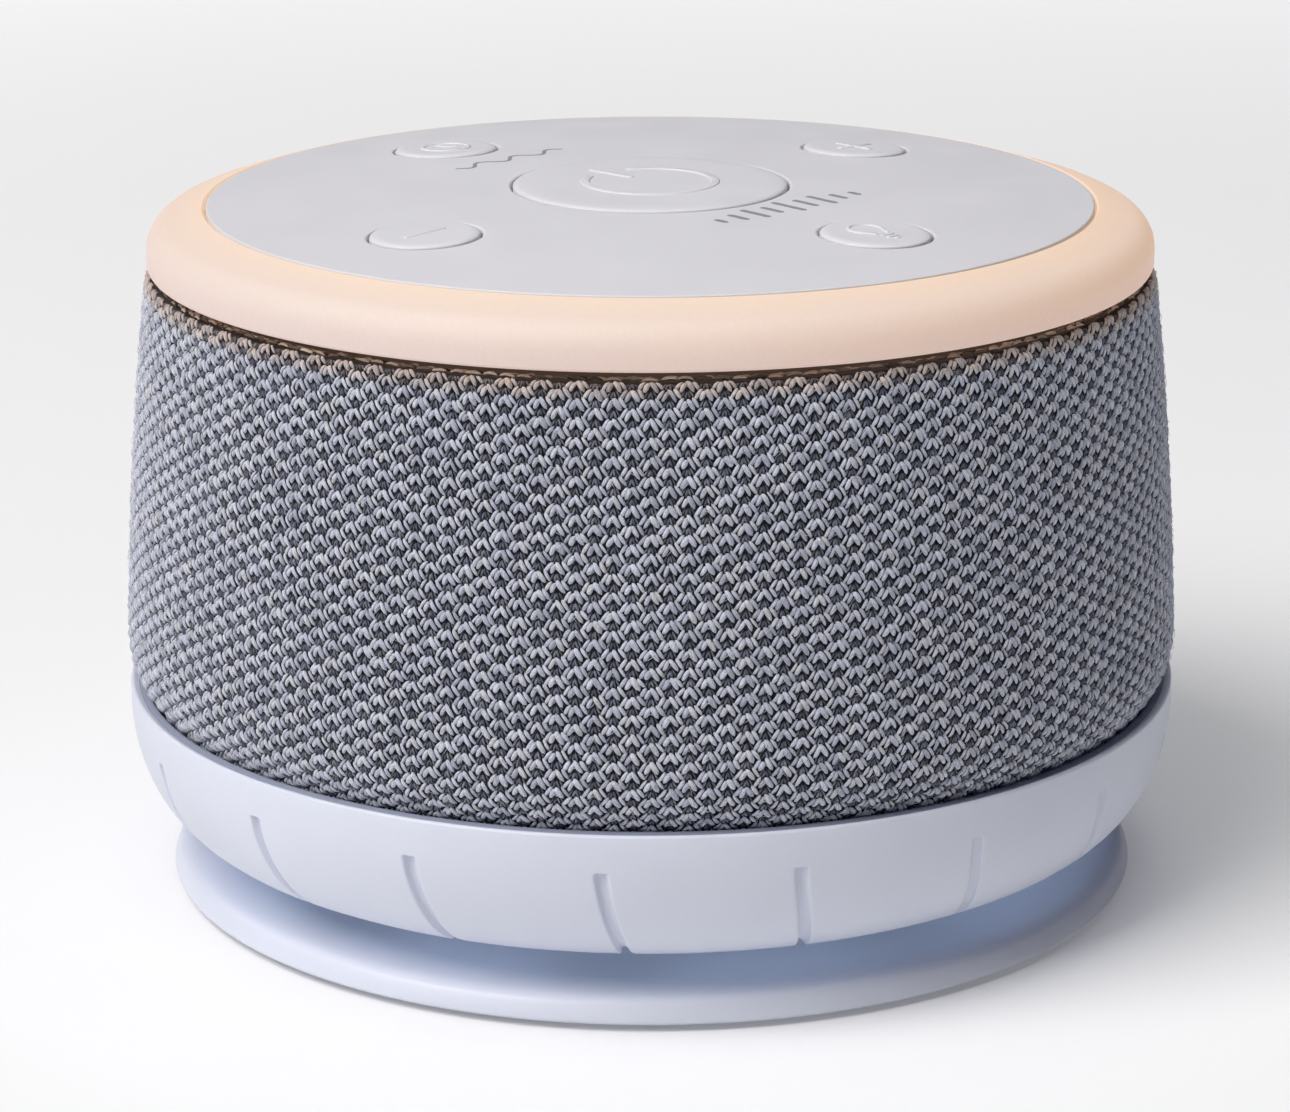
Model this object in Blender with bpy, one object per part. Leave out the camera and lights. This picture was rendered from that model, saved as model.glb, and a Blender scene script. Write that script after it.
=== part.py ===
"""A bedside fan sound machine with a night-light ring, as an assembly of separate pieces.

The unit stands on a round base plate. A tone collar with grip grooves turns round the lower housing
and opens or closes its air ports. A knitted sleeve covers a slotted drum, a diffuser ring glows under
a low domed panel with five sprung buttons, and a motor turns a fan in a slotted chamber inside.
Origin: the middle of the underside. +Z is up and -Y is the front. Metres throughout.
"""
from math import asin, atan2, cos, degrees, pi, radians, sin, sqrt

import bmesh
import bpy
from mathutils import Matrix, Vector

MM = 0.001

# Driving dimensions
GAP = 0.3 * MM                     # clearance between pieces that touch
SEGMENTS = 48                      # facets round the outer pieces
INNER_SEGMENTS = 24                # facets round the inner pieces
HOLE_SEGMENTS = 8                  # facets round screws and their holes

FOOT_PROUD = 0.8 * MM
PLATE_RADIUS = 64.75 * MM
PLATE_TOP_RADIUS = 62.9 * MM
PLATE_TOP = 3.95 * MM
FOOT_INNER, FOOT_OUTER = 48.0 * MM, 58.0 * MM
RECESS_HALF_WIDTH = 7.0 * MM       # the recess in which the power plug lies
RECESS_START, RECESS_END = 13.5 * MM, 40.5 * MM
RECESS_TOP = 12.0 * MM
RECESS_WALL, RECESS_ROOF = 1.5 * MM, 1.2 * MM
CHANNEL_HALF_WIDTH, CHANNEL_TOP = 2.5 * MM, 6.0 * MM
BASE_SCREW_ANGLES = (45.0, 135.0, 225.0, 315.0)
BASE_SCREW_CIRCLE = 40.0 * MM
BASE_SCREW_SEAT = 2.0 * MM         # height of the face that the heads press on

JACK_HEIGHT = 7.6 * MM             # height of the plug's axis
JACK_FACE = 14.0 * MM              # distance of the jack's mouth from the axis of the unit
JACK_BACK, JACK_SHOULDER = 0.5 * MM, 11.6 * MM
JACK_HALF_WIDTH = 4.5 * MM
JACK_BARREL, JACK_BORE, JACK_PIN = 4.0 * MM, 2.9 * MM, 1.0 * MM     # radii
MAIN_BOARD_HALF_WIDTH, MAIN_BOARD_FRONT = 22.0 * MM, -35.0 * MM
MAIN_BOARD_BOTTOM, MAIN_BOARD_TOP = 11.6 * MM, 13.2 * MM

COLLAR_BOTTOM = 9.0 * MM
COLLAR_TOP = 27.5 * MM
COLLAR_RADIUS = 69.8 * MM
COLLAR_WALL = 2.0 * MM
COLLAR_STRAIGHT_FROM = 25.0 * MM   # above this height the collar's wall is upright
COLLAR_CURVE_WIDTH = 11.0 * MM     # the quarter ellipse of its lower part
COLLAR_CURVE_HEIGHT = 16.5 * MM
GROOVES = 18
GROOVE_TOP = 22.5 * MM
GROOVE_DEPTH = 0.9 * MM
GROOVE_SLANT = 2.2                 # degrees that a groove's foot is turned ahead of its head
GROOVE_SECTION = ((-0.69, 0.0), (-0.40, 1.0), (0.50, 0.45), (0.70, 0.0))   # degrees, share of the depth

SLEEVE_WIDEST_RADIUS = 70.0 * MM
SLEEVE_WIDEST_HEIGHT = 33.2 * MM
SLEEVE_TAPER, SLEEVE_BOW = 1.93 * MM, 2.12 * MM
SLEEVE_TOP = 82.5 * MM
SLEEVE_THICKNESS = 1.2 * MM
DRUM_WALL = 1.8 * MM
DRUM_SLOTS = 18
SLOT_HALF_ANGLE = 6.0              # degrees
SLOT_BOTTOM, SLOT_TOP = 34.0 * MM, 71.0 * MM

RING_BOTTOM = 83.0 * MM
RING_RADIUS = 65.7 * MM
RING_INNER = 58.15 * MM
RING_SHOULDER = 4.0 * MM           # radius of the ring's rounded shoulder
RING_SLOPE = radians(17.0)         # fall of the ring's top, outwards
RING_WALL = 1.8 * MM

PANEL_RADIUS = 57.85 * MM
PANEL_EDGE = 90.4 * MM
PANEL_RISE = 1.9 * MM
PANEL_THICKNESS = 2.2 * MM
BUTTON_PROUD = 0.3 * MM
BUTTON_GAP = 0.45 * MM             # enough for the facets of both
POWER_RADIUS = 17.95 * MM
POWER_FLANGE, SMALL_FLANGE = 1.65 * MM, 1.4 * MM     # how far the retaining flanges reach outwards
POWER_STEM, SMALL_STEM = 2.6 * MM, 1.8 * MM
SMALL_RADIUS = 6.95 * MM
SMALL_CIRCLE = 39.6 * MM           # distance of the small buttons from the axis
SMALL_BUTTONS = {"minus": 180.0, "plus": 0.0, "night_light": 270.0, "timer": 90.0}   # the front is -Y
STEM_END = 85.4 * MM               # height of the buttons' stems over their plungers
SKIRT_INNER, SKIRT_OUTER, SKIRT_BOTTOM = 53.6 * MM, 55.2 * MM, 82.0 * MM

PORTS = 9
PORT_INNER, PORT_OUTER = 49.2 * MM, 56.8 * MM
PORT_START, PORT_WIDTH = 13.0, 14.0   # degrees
NECK_INNER, NECK_OUTER = 44.0 * MM, 46.0 * MM
FLOOR_BOTTOM, FLOOR_TOP = 13.5 * MM, 15.5 * MM
HOUSING_OUTER = 60.0 * MM
HOUSING_TOP = 28.0 * MM
PILLAR_CIRCLE = 52.0 * MM
PILLAR_ANGLES = (30.0, 150.0, 270.0)
CARRIER_BOTTOM, CARRIER_TOP = 76.5 * MM, 78.3 * MM
BOARD_BOTTOM, BOARD_TOP = 79.3 * MM, 80.9 * MM
BOARD_RADIUS = 48.0 * MM
BOARD_SCREW_ANGLES = (0.0, 120.0, 240.0)
BOARD_SCREW_CIRCLE = 24.0 * MM
LAMP_HEIGHT = 1.4 * MM
SWITCH_HALF_WIDTH, SWITCH_TOP = 3.0 * MM, 84.2 * MM
PLUNGER_RADIUS, PLUNGER_BOTTOM, PLUNGER_TOP = 1.7 * MM, 83.7 * MM, 85.1 * MM
ISOLATOR_CIRCLE = 34.0 * MM
ISOLATOR_INNER, ISOLATOR_OUTER = 1.9 * MM, 5.0 * MM
BRACKET_BOTTOM, BRACKET_TOP = 21.1 * MM, 22.9 * MM
SHROUD_OUTER, SHROUD_INNER = 48.3 * MM, 46.7 * MM
SHROUD_BOTTOM, SHROUD_TOP = 23.2 * MM, 74.0 * MM
SHROUD_SLOTS = 12
SHROUD_SLOT_HALF_ANGLE = 7.0       # degrees
CAN_OUTER, CAN_INNER, CAN_TOP = 18.0 * MM, 16.3 * MM, 44.0 * MM
SHAFT_RADIUS, SHAFT_TOP = 2.0 * MM, 62.0 * MM
RUNNING_GAP = 0.08 * MM            # between the shaft and its bearings
BEARING_RADIUS = 4.9 * MM
FAN_RADIUS = 42.0 * MM
FAN_BACK, FAN_FRONT = 48.0 * MM, 66.0 * MM
BLADES = 9
BLADE_START = 15.0 * MM
BLADE_SWEEP = 26.0                 # degrees that a blade's tip trails its root
BLADE_HALF_THICKNESS = 0.7 * MM
LEAD_ANGLE, LEAD_CIRCLE = 210.0, 24.0 * MM
HARNESS_ANGLE, HARNESS_CIRCLE = -60.0, 34.0 * MM
HARNESS_UPPER_CIRCLE = 51.5 * MM
CABLE_HOLE = 2.5 * MM

# colour, roughness, metallic
MATERIALS = {
    "shell_plastic": ((0.66, 0.68, 0.75), 0.45, 0.0),
    "panel_plastic": ((0.68, 0.68, 0.72), 0.50, 0.0),
    "diffuser": ((0.93, 0.78, 0.66), 0.40, 0.0),
    "knit": ((0.38, 0.40, 0.45), 0.90, 0.0),
    "black_plastic": ((0.03, 0.03, 0.035), 0.50, 0.0),
    "grey_plastic": ((0.30, 0.31, 0.33), 0.50, 0.0),
    "rubber": ((0.05, 0.05, 0.05), 0.80, 0.0),
    "circuit_board": ((0.03, 0.20, 0.09), 0.45, 0.0),
    "steel": ((0.62, 0.62, 0.64), 0.30, 1.0),
    "bronze": ((0.60, 0.42, 0.22), 0.35, 1.0),
    "copper": ((0.75, 0.36, 0.20), 0.35, 1.0),
    "cable": ((0.02, 0.02, 0.02), 0.60, 0.0),
}


# ---------------------------------------------------------------- tools

def material(name):
    """The named Principled material, made once."""
    if name in bpy.data.materials:
        return bpy.data.materials[name]
    colour, roughness, metallic = MATERIALS[name]
    made = bpy.data.materials.new(name)
    made.use_nodes = True
    shader = made.node_tree.nodes["Principled BSDF"]
    shader.inputs["Base Color"].default_value = (*colour, 1.0)
    shader.inputs["Roughness"].default_value = roughness
    shader.inputs["Metallic"].default_value = metallic
    made.diffuse_color = (*colour, 1.0)
    return made


def add(name, bm, finish, parent=None):
    """Links a bmesh as one named object with one material."""
    bmesh.ops.recalc_face_normals(bm, faces=bm.faces)
    mesh = bpy.data.meshes.new(name)
    bm.to_mesh(mesh)
    bm.free()
    mesh.shade_smooth()
    mesh.set_sharp_from_angle(angle=radians(35))
    mesh.materials.append(material(finish))
    made = bpy.data.objects.new(name, mesh)
    made.parent = parent
    bpy.context.scene.collection.objects.link(made)
    return made


def hinge_empty(name, at=(0.0, 0.0, 0.0), tilt=0.0, turn=0.0):
    """An empty on a joint's axis, tilted about X and then turned about Z."""
    made = bpy.data.objects.new(name, None)
    made.location = at
    made.rotation_euler = (tilt, 0.0, turn)
    bpy.context.scene.collection.objects.link(made)
    return made


def turned(outline, segments=SEGMENTS, at=(0.0, 0.0)):
    """A solid of revolution about an upright axis from a closed (radius, height) outline."""
    bm = bmesh.new()
    points = [bm.verts.new((r, 0.0, z)) for r, z in outline]
    pairs = zip(points, points[1:] + points[:1])
    edges = [bm.edges.new(p) for p in pairs if p[0].co.x > 0 or p[1].co.x > 0]
    bmesh.ops.spin(bm, geom=points + edges, axis=(0, 0, 1), cent=(0, 0, 0),
                   angle=2 * pi, steps=segments, use_merge=True)
    bmesh.ops.remove_doubles(bm, verts=bm.verts, dist=1e-6)
    bmesh.ops.translate(bm, verts=bm.verts, vec=(at[0], at[1], 0.0))
    return bm


def washer(inner, outer, bottom, top, segments=INNER_SEGMENTS, at=(0.0, 0.0)):
    """A plain ring, or a disc where inner is 0."""
    outline = [(inner, bottom), (outer, bottom), (outer, top), (inner, top)]
    return turned(outline, segments, at)


def block(low, high):
    """A box between two corners."""
    bm = bmesh.new()
    bmesh.ops.create_cube(bm, size=1.0)
    for v in bm.verts:
        v.co = Vector(h if c > 0 else l for c, l, h in zip(v.co, low, high))
    return bm


def merged(parts):
    """Several bmeshes in one, still as separate bodies."""
    whole = bmesh.new()
    for part in parts:
        spare = bpy.data.meshes.new("spare")
        part.to_mesh(spare)
        part.free()
        whole.from_mesh(spare)
        bpy.data.meshes.remove(spare)
    return whole


def turned_copy(bm, angle):
    """The bmesh turned about Z by degrees."""
    bmesh.ops.rotate(bm, verts=bm.verts, cent=(0, 0, 0), matrix=Matrix.Rotation(radians(angle), 3, "Z"))
    return bm


def combine(target, parts, operation, label="shape"):
    """Cuts bodies out of a piece, or joins them to it, with one Boolean modifier."""
    tool = add(f"{target.name}_{operation.lower()}_{label}", merged(parts), "black_plastic")
    tool.hide_render = True
    tool.display_type = "WIRE"
    boolean = target.modifiers.new(label, "BOOLEAN")
    boolean.object = tool
    boolean.operation = operation


def on_circle(radius, angle):
    """The point at a radius and an angle in degrees."""
    return radius * cos(radians(angle)), radius * sin(radians(angle))


def cell_wall(rows, columns, is_window):
    """A closed tube wall from rows of ((r, z) outside, (r, z) inside), with windows left open.

    columns are angles in degrees; is_window(row, column) says which cells are open.
    """
    bm = bmesh.new()
    count = len(columns)

    def ring(side):
        return [[bm.verts.new((*on_circle(row[side][0], a), row[side][1])) for a in columns]
                for row in rows]

    outside, inside = ring(0), ring(1)
    for i in range(len(rows) - 1):
        for j in range(count):
            k = (j + 1) % count
            corners = [(i, j), (i, k), (i + 1, k), (i + 1, j)]
            if not is_window(i, j):
                bm.faces.new([outside[a][b] for a, b in corners])
                bm.faces.new([inside[a][b] for a, b in reversed(corners)])
                continue
            for (a, b), (c, d) in zip(corners, corners[1:] + corners[:1]):
                bm.faces.new([outside[a][b], outside[c][d], inside[c][d], inside[a][b]])
    for i in (0, len(rows) - 1):
        for j in range(count):
            k = (j + 1) % count
            bm.faces.new([outside[i][j], outside[i][k], inside[i][k], inside[i][j]])
    return bm


def extruded(plan, bottom, top):
    """A prism on a flat outline, between two heights."""
    bm = bmesh.new()
    face = bm.faces.new([bm.verts.new((x, y, bottom)) for x, y in plan])
    grown = bmesh.ops.extrude_face_region(bm, geom=[face])["geom"]
    verts = [g for g in grown if isinstance(g, bmesh.types.BMVert)]
    bmesh.ops.translate(bm, verts=verts, vec=(0, 0, top - bottom))
    return bm


def wedges(bottom, top):
    """The sector-shaped bodies that cut the air ports."""
    bodies = []
    for n in range(PORTS):
        start = PORT_START + 360.0 / PORTS * n
        angles = [start, start + PORT_WIDTH / 2, start + PORT_WIDTH]
        plan = [on_circle(PORT_INNER, a) for a in angles]
        plan += [on_circle(PORT_OUTER, a) for a in reversed(angles)]
        bodies.append(extruded(plan, bottom, top))
    return bodies


def pegs(radius, bottom, top, circle, angles, segments=HOLE_SEGMENTS):
    """Upright cylinders on a circle, for holes and bosses."""
    return [washer(0, radius, bottom, top, segments, on_circle(circle, a)) for a in angles]


def screw(name, at, head_radius, shank_radius, bottom, seat, top, downwards=True):
    """A pan-head screw with its head's seat at a height; it points up where downwards is False."""
    if downwards:
        outline = [(0, bottom), (shank_radius, bottom), (shank_radius, seat), (head_radius, seat),
                   (head_radius * 0.8, top), (0, top)]
    else:
        outline = [(0, bottom), (head_radius * 0.8, bottom), (head_radius, seat), (shank_radius, seat),
                   (shank_radius, top), (0, top)]
    add(name, turned(outline, HOLE_SEGMENTS, at), "steel")


def dome(radius):
    """Height of the panel's top surface at a distance from the axis."""
    return PANEL_EDGE + PANEL_RISE * (1 - (radius / RING_INNER) ** 2)


def sleeve_radius(height):
    """Outer radius of the sleeve at a height above its widest line."""
    t = (height - SLEEVE_WIDEST_HEIGHT) / (RING_BOTTOM - SLEEVE_WIDEST_HEIGHT)
    return SLEEVE_WIDEST_RADIUS - SLEEVE_TAPER * t - SLEEVE_BOW * t * t if t > 0 else SLEEVE_WIDEST_RADIUS


# ---------------------------------------------------------------- base

def make_base():
    """The plate with the recess in which the power plug lies, its foot ring and four screws."""
    under = FOOT_PROUD
    outline = [(0, under), (FOOT_INNER, under), (FOOT_INNER, under + MM), (FOOT_OUTER, under + MM),
               (FOOT_OUTER, under), (64.3 * MM, under), (PLATE_RADIUS, under + 0.4 * MM),
               (64.5 * MM, 2.2 * MM), (63.9 * MM, 3.3 * MM), (63.4 * MM, 3.75 * MM),
               (PLATE_TOP_RADIUS, PLATE_TOP), (0, PLATE_TOP)]
    plate = add("base_plate", turned(outline), "shell_plastic")
    half, wall = RECESS_HALF_WIDTH, RECESS_WALL
    recess_walls = block((-half - wall, RECESS_START - wall, 2 * MM),
                         (half + wall, RECESS_END + wall, RECESS_TOP + RECESS_ROOF))
    combine(plate, [recess_walls], "UNION")
    recess = block((-half, RECESS_START, 0), (half, RECESS_END, RECESS_TOP))
    combine(plate, [recess], "DIFFERENCE", "recess")
    channel = block((-CHANNEL_HALF_WIDTH, RECESS_END - 2.5 * MM, 0.5 * MM),
                    (CHANNEL_HALF_WIDTH, PLATE_RADIUS + 2.25 * MM, CHANNEL_TOP))
    combine(plate, [channel], "DIFFERENCE", "channel")
    combine(plate, [jack_window()], "DIFFERENCE", "jack_window")
    seat = BASE_SCREW_SEAT + GAP
    seats = pegs(3.4 * MM, 0, seat, BASE_SCREW_CIRCLE, BASE_SCREW_ANGLES, 12)
    combine(plate, seats, "DIFFERENCE", "seats")
    holes = pegs(1.8 * MM, MM, 5 * MM, BASE_SCREW_CIRCLE, BASE_SCREW_ANGLES)
    combine(plate, holes, "DIFFERENCE", "holes")
    for number, angle in enumerate(BASE_SCREW_ANGLES, 1):
        screw(f"base_screw_{number}", on_circle(BASE_SCREW_CIRCLE, angle), 2.9 * MM, 1.3 * MM,
              MM, BASE_SCREW_SEAT, 11.5 * MM, downwards=False)

    foot = washer(FOOT_INNER + GAP, FOOT_OUTER - GAP, 0, under + MM - GAP, SEGMENTS)
    foot = add("rubber_foot_ring", foot, "rubber")
    gap_for_cable = block((-3.5 * MM, 40 * MM, -MM), (3.5 * MM, 66 * MM, 3 * MM))
    combine(foot, [gap_for_cable], "DIFFERENCE")


# ---------------------------------------------------------------- power jack and main board

def barrel(radius, start, end, bore=0.0):
    """A cylinder, or a tube, along Y at the jack's height."""
    bm = washer(bore, radius, start, end, 16)
    bmesh.ops.rotate(bm, verts=bm.verts, cent=(0, 0, 0), matrix=Matrix.Rotation(-pi / 2, 3, "X"))
    bmesh.ops.translate(bm, verts=bm.verts, vec=(0, 0, JACK_HEIGHT))
    return bm


def jack_window():
    """The hole in the recess's end wall, through which the jack's mouth stands."""
    return barrel(JACK_BARREL + 0.4 * MM, RECESS_START - 3.5 * MM, RECESS_START + 1.5 * MM)


def make_inlet():
    """The DC jack behind the recess, and the main board above it under the housing's floor."""
    jack = block((-JACK_HALF_WIDTH, JACK_BACK, PLATE_TOP + 0.35 * MM),
                 (JACK_HALF_WIDTH, JACK_SHOULDER, MAIN_BOARD_BOTTOM - GAP))
    jack = add("power_jack", jack, "black_plastic")
    combine(jack, [barrel(JACK_BARREL, JACK_SHOULDER - 0.6 * MM, JACK_FACE)], "UNION")
    combine(jack, [barrel(JACK_BORE, 4 * MM, JACK_FACE + 2 * MM, JACK_PIN)], "DIFFERENCE")
    board = block((-MAIN_BOARD_HALF_WIDTH, MAIN_BOARD_FRONT, MAIN_BOARD_BOTTOM),
                  (MAIN_BOARD_HALF_WIDTH, JACK_SHOULDER, MAIN_BOARD_TOP))
    add("main_board", board, "circuit_board")


# ---------------------------------------------------------------- housing and collar

def make_housing():
    """The chassis: neck, floor with nine air ports, wall, screw bosses and three pillars."""
    outline = [(NECK_INNER, PLATE_TOP + GAP), (NECK_OUTER, PLATE_TOP + GAP), (NECK_OUTER, FLOOR_BOTTOM),
               (HOUSING_OUTER, FLOOR_BOTTOM), (HOUSING_OUTER, HOUSING_TOP),
               (HOUSING_OUTER - 2 * MM, HOUSING_TOP), (HOUSING_OUTER - 2 * MM, FLOOR_TOP),
               (0, FLOOR_TOP), (0, FLOOR_BOTTOM), (NECK_INNER, FLOOR_BOTTOM)]
    housing = add("lower_housing", turned(outline, 36), "shell_plastic")
    inside_floor = FLOOR_BOTTOM + MM
    bosses = pegs(5 * MM, PLATE_TOP + GAP, inside_floor, BASE_SCREW_CIRCLE, BASE_SCREW_ANGLES, 10)
    pillars = pegs(3.2 * MM, inside_floor, CARRIER_BOTTOM - GAP, PILLAR_CIRCLE, PILLAR_ANGLES, 10)
    combine(housing, bosses + pillars, "UNION")
    combine(housing, wedges(FLOOR_BOTTOM - MM, FLOOR_TOP + MM), "DIFFERENCE", "ports")
    through = (FLOOR_BOTTOM - 0.5 * MM, FLOOR_TOP + 0.5 * MM)
    holes = pegs(1.6 * MM, 4 * MM, 12 * MM, BASE_SCREW_CIRCLE, BASE_SCREW_ANGLES)
    holes += pegs(1.6 * MM, 66 * MM, 77 * MM, PILLAR_CIRCLE, PILLAR_ANGLES)
    holes += pegs(1.8 * MM, 14 * MM, 16 * MM, ISOLATOR_CIRCLE, PILLAR_ANGLES)
    holes += pegs(CABLE_HOLE, *through, LEAD_CIRCLE, [LEAD_ANGLE])
    holes += pegs(CABLE_HOLE, *through, HARNESS_CIRCLE, [HARNESS_ANGLE])
    combine(housing, holes, "DIFFERENCE", "holes")
    ring = washer(NECK_OUTER + GAP, 50.5 * MM, 9.6 * MM, 11.1 * MM, 36)
    add("collar_retaining_ring", ring, "black_plastic")


def collar_outline():
    """The collar's section with, for each point, whether a grip groove is cut into it."""
    centre = COLLAR_RADIUS - COLLAR_CURVE_WIDTH
    lowest = degrees(asin((COLLAR_STRAIGHT_FROM - COLLAR_BOTTOM) / COLLAR_CURVE_HEIGHT))
    groove_end = degrees(asin((COLLAR_STRAIGHT_FROM - GROOVE_TOP) / COLLAR_CURVE_HEIGHT))
    points = []
    for angle in (lowest, 52, 30, groove_end + 1):
        x, z = COLLAR_CURVE_WIDTH * cos(radians(angle)), COLLAR_CURVE_HEIGHT * sin(radians(angle))
        points.append((centre + x, COLLAR_STRAIGHT_FROM - z, True))
    top, wall = COLLAR_TOP, COLLAR_WALL
    upper = [(COLLAR_RADIUS - 0.1 * MM, GROOVE_TOP), (COLLAR_RADIUS, top - 1.0 * MM),
             (COLLAR_RADIUS - 0.5 * wall, top), (COLLAR_RADIUS - wall, top - 1.0 * MM)]
    for angle in (30, 55.9):
        upper.append((centre + (COLLAR_CURVE_WIDTH - wall) * cos(radians(angle)),
                      COLLAR_STRAIGHT_FROM - (COLLAR_CURVE_HEIGHT - wall) * sin(radians(angle))))
    flange = FLOOR_BOTTOM - 0.5 * MM
    upper += [(NECK_OUTER + 0.4 * MM, flange), (NECK_OUTER + 0.4 * MM, flange - 1.6 * MM),
              (60.6 * MM, flange - 1.6 * MM), (59.9 * MM, COLLAR_BOTTOM)]
    return points + [(r, z, False) for r, z in upper]


def groove_lead(height):
    """Degrees that the grooves are turned ahead at a height: more and more towards their feet."""
    down = max(0.0, (GROOVE_TOP - height) / (GROOVE_TOP - COLLAR_BOTTOM))
    return GROOVE_SLANT * down ** 1.5


def make_collar():
    """The tone collar: slanted grip grooves outside, and a flange with ports over the floor's ports."""
    outline = collar_outline()
    pitch = 360.0 / GROOVES
    bm = bmesh.new()
    columns = []
    for n in range(GROOVES):
        for offset, share in GROOVE_SECTION + ((pitch / 2, 0.0),):
            column = []
            for r, z, cut in outline:
                depth = GROOVE_DEPTH * share if cut else 0.0
                angle = pitch * n + offset + (groove_lead(z) if cut else 0.0)
                column.append(bm.verts.new((*on_circle(r - depth, angle), z)))
            columns.append(column)
    for a, b in zip(columns, columns[1:] + columns[:1]):
        for i in range(len(outline)):
            j = (i + 1) % len(outline)
            bm.faces.new([a[i], b[i], b[j], a[j]])
    collar = add("tone_collar", bm, "shell_plastic", hinge_empty("collar_axis"))
    combine(collar, wedges(FLOOR_BOTTOM - 4 * MM, FLOOR_BOTTOM + MM), "DIFFERENCE", "ports")


# ---------------------------------------------------------------- drum and sleeve

def make_drum():
    """The slotted drum, with a flange at each end, that carries the sleeve and the top."""
    inset = SLEEVE_THICKNESS + GAP
    rows = [((64.0 * MM, 23.5 * MM), (62.2 * MM, 23.5 * MM)),
            ((64.0 * MM, 27.0 * MM), (62.2 * MM, 28.3 * MM)),
            ((64.0 * MM, 27.9 * MM), (57.7 * MM, 28.3 * MM)),
            ((65.9 * MM, 28.9 * MM), (57.7 * MM, 30.1 * MM)),
            ((67.4 * MM, 29.7 * MM), (65.6 * MM, 30.1 * MM))]
    slot_row = len(rows)
    for z in (SLOT_BOTTOM, SLOT_TOP):
        outer = sleeve_radius(z) - inset
        rows.append(((outer, z), (outer - DRUM_WALL, z)))
    outer = sleeve_radius(74 * MM) - inset
    rim = sleeve_radius(81 * MM) - inset
    rows += [((outer, 74.0 * MM), (outer - DRUM_WALL, 74.4 * MM)),
             ((outer - 0.1 * MM, 75.0 * MM), (59.8 * MM, 74.4 * MM)),
             ((outer - 0.2 * MM, 76.0 * MM), (59.8 * MM, 76.2 * MM)),
             ((outer - 0.4 * MM, 77.0 * MM), (outer - 0.2 * MM - DRUM_WALL, 76.2 * MM)),
             ((rim, 80.9 * MM), (rim - DRUM_WALL, 80.9 * MM))]
    columns = [360.0 / DRUM_SLOTS * n + side for n in range(DRUM_SLOTS)
               for side in (-SLOT_HALF_ANGLE, SLOT_HALF_ANGLE)]
    wall = cell_wall(rows, columns, lambda i, j: i == slot_row and j % 2 == 0)
    add("grille_drum", wall, "black_plastic")


def make_sleeve():
    """The knitted sleeve as a plain tube: rolled in at the top, tucked behind the collar below."""
    outside = [(65.5, 23.8), (65.5, 26.8), (68.6, 28.3), (69.8, 30.4)]
    outside = [(r * MM, z * MM) for r, z in outside]
    for z in (33.2, 55.0, 70.0, 80.6):
        outside.append((sleeve_radius(z * MM), z * MM))
    rim = sleeve_radius(SLEEVE_TOP)
    outside += [(rim - 0.5 * MM, 82.1 * MM), (rim - 1.9 * MM, SLEEVE_TOP), (rim - 1.9 * MM, 81.3 * MM),
                (rim - 1.15 * MM, 81.2 * MM)]
    inside = [(sleeve_radius(z * MM) - SLEEVE_THICKNESS, z * MM) for z in (72.0, 55.0, 33.2)]
    inside += [(r * MM, z * MM) for r, z in [(68.3, 30.3), (66.9, 29.0), (64.3, 27.6), (64.3, 23.8)]]
    add("fabric_sleeve", turned(outside + inside), "knit")
    hoop = washer(65.9 * MM, 67.0 * MM, 23.8 * MM, 26.2 * MM, 36)
    add("sleeve_hoop", hoop, "black_plastic")


# ---------------------------------------------------------------- light ring and top

def make_ring():
    """The diffuser: a sloping top, a rounded shoulder and a foot that stands on the carrier's rim."""
    radius = RING_SHOULDER
    centre_r = RING_RADIUS - radius
    rise, run = sin(RING_SLOPE), cos(RING_SLOPE)
    centre_z = PANEL_EDGE - (radius + rise * (centre_r - RING_INNER)) / run
    outer, inner = [], []
    for step in range(5):
        turn = RING_SLOPE + (pi / 2 - RING_SLOPE) * step / 4
        outer.append((centre_r + radius * sin(turn), centre_z + radius * cos(turn)))
        if step in (0, 2):
            inside = radius - RING_WALL
            inner.append((centre_r + inside * sin(turn), centre_z + inside * cos(turn)))
    outline = [(RING_INNER, PANEL_EDGE)] + outer
    outline += [(RING_RADIUS, RING_BOTTOM + 0.3 * MM), (RING_RADIUS - 0.3 * MM, RING_BOTTOM),
                (59.5 * MM, RING_BOTTOM), (59.5 * MM, RING_BOTTOM + RING_WALL),
                (RING_RADIUS - RING_WALL, RING_BOTTOM + RING_WALL)]
    outline += reversed(inner)
    outline.append((RING_INNER, PANEL_EDGE - RING_WALL / run))
    add("light_ring", turned(outline), "diffuser")


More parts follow.
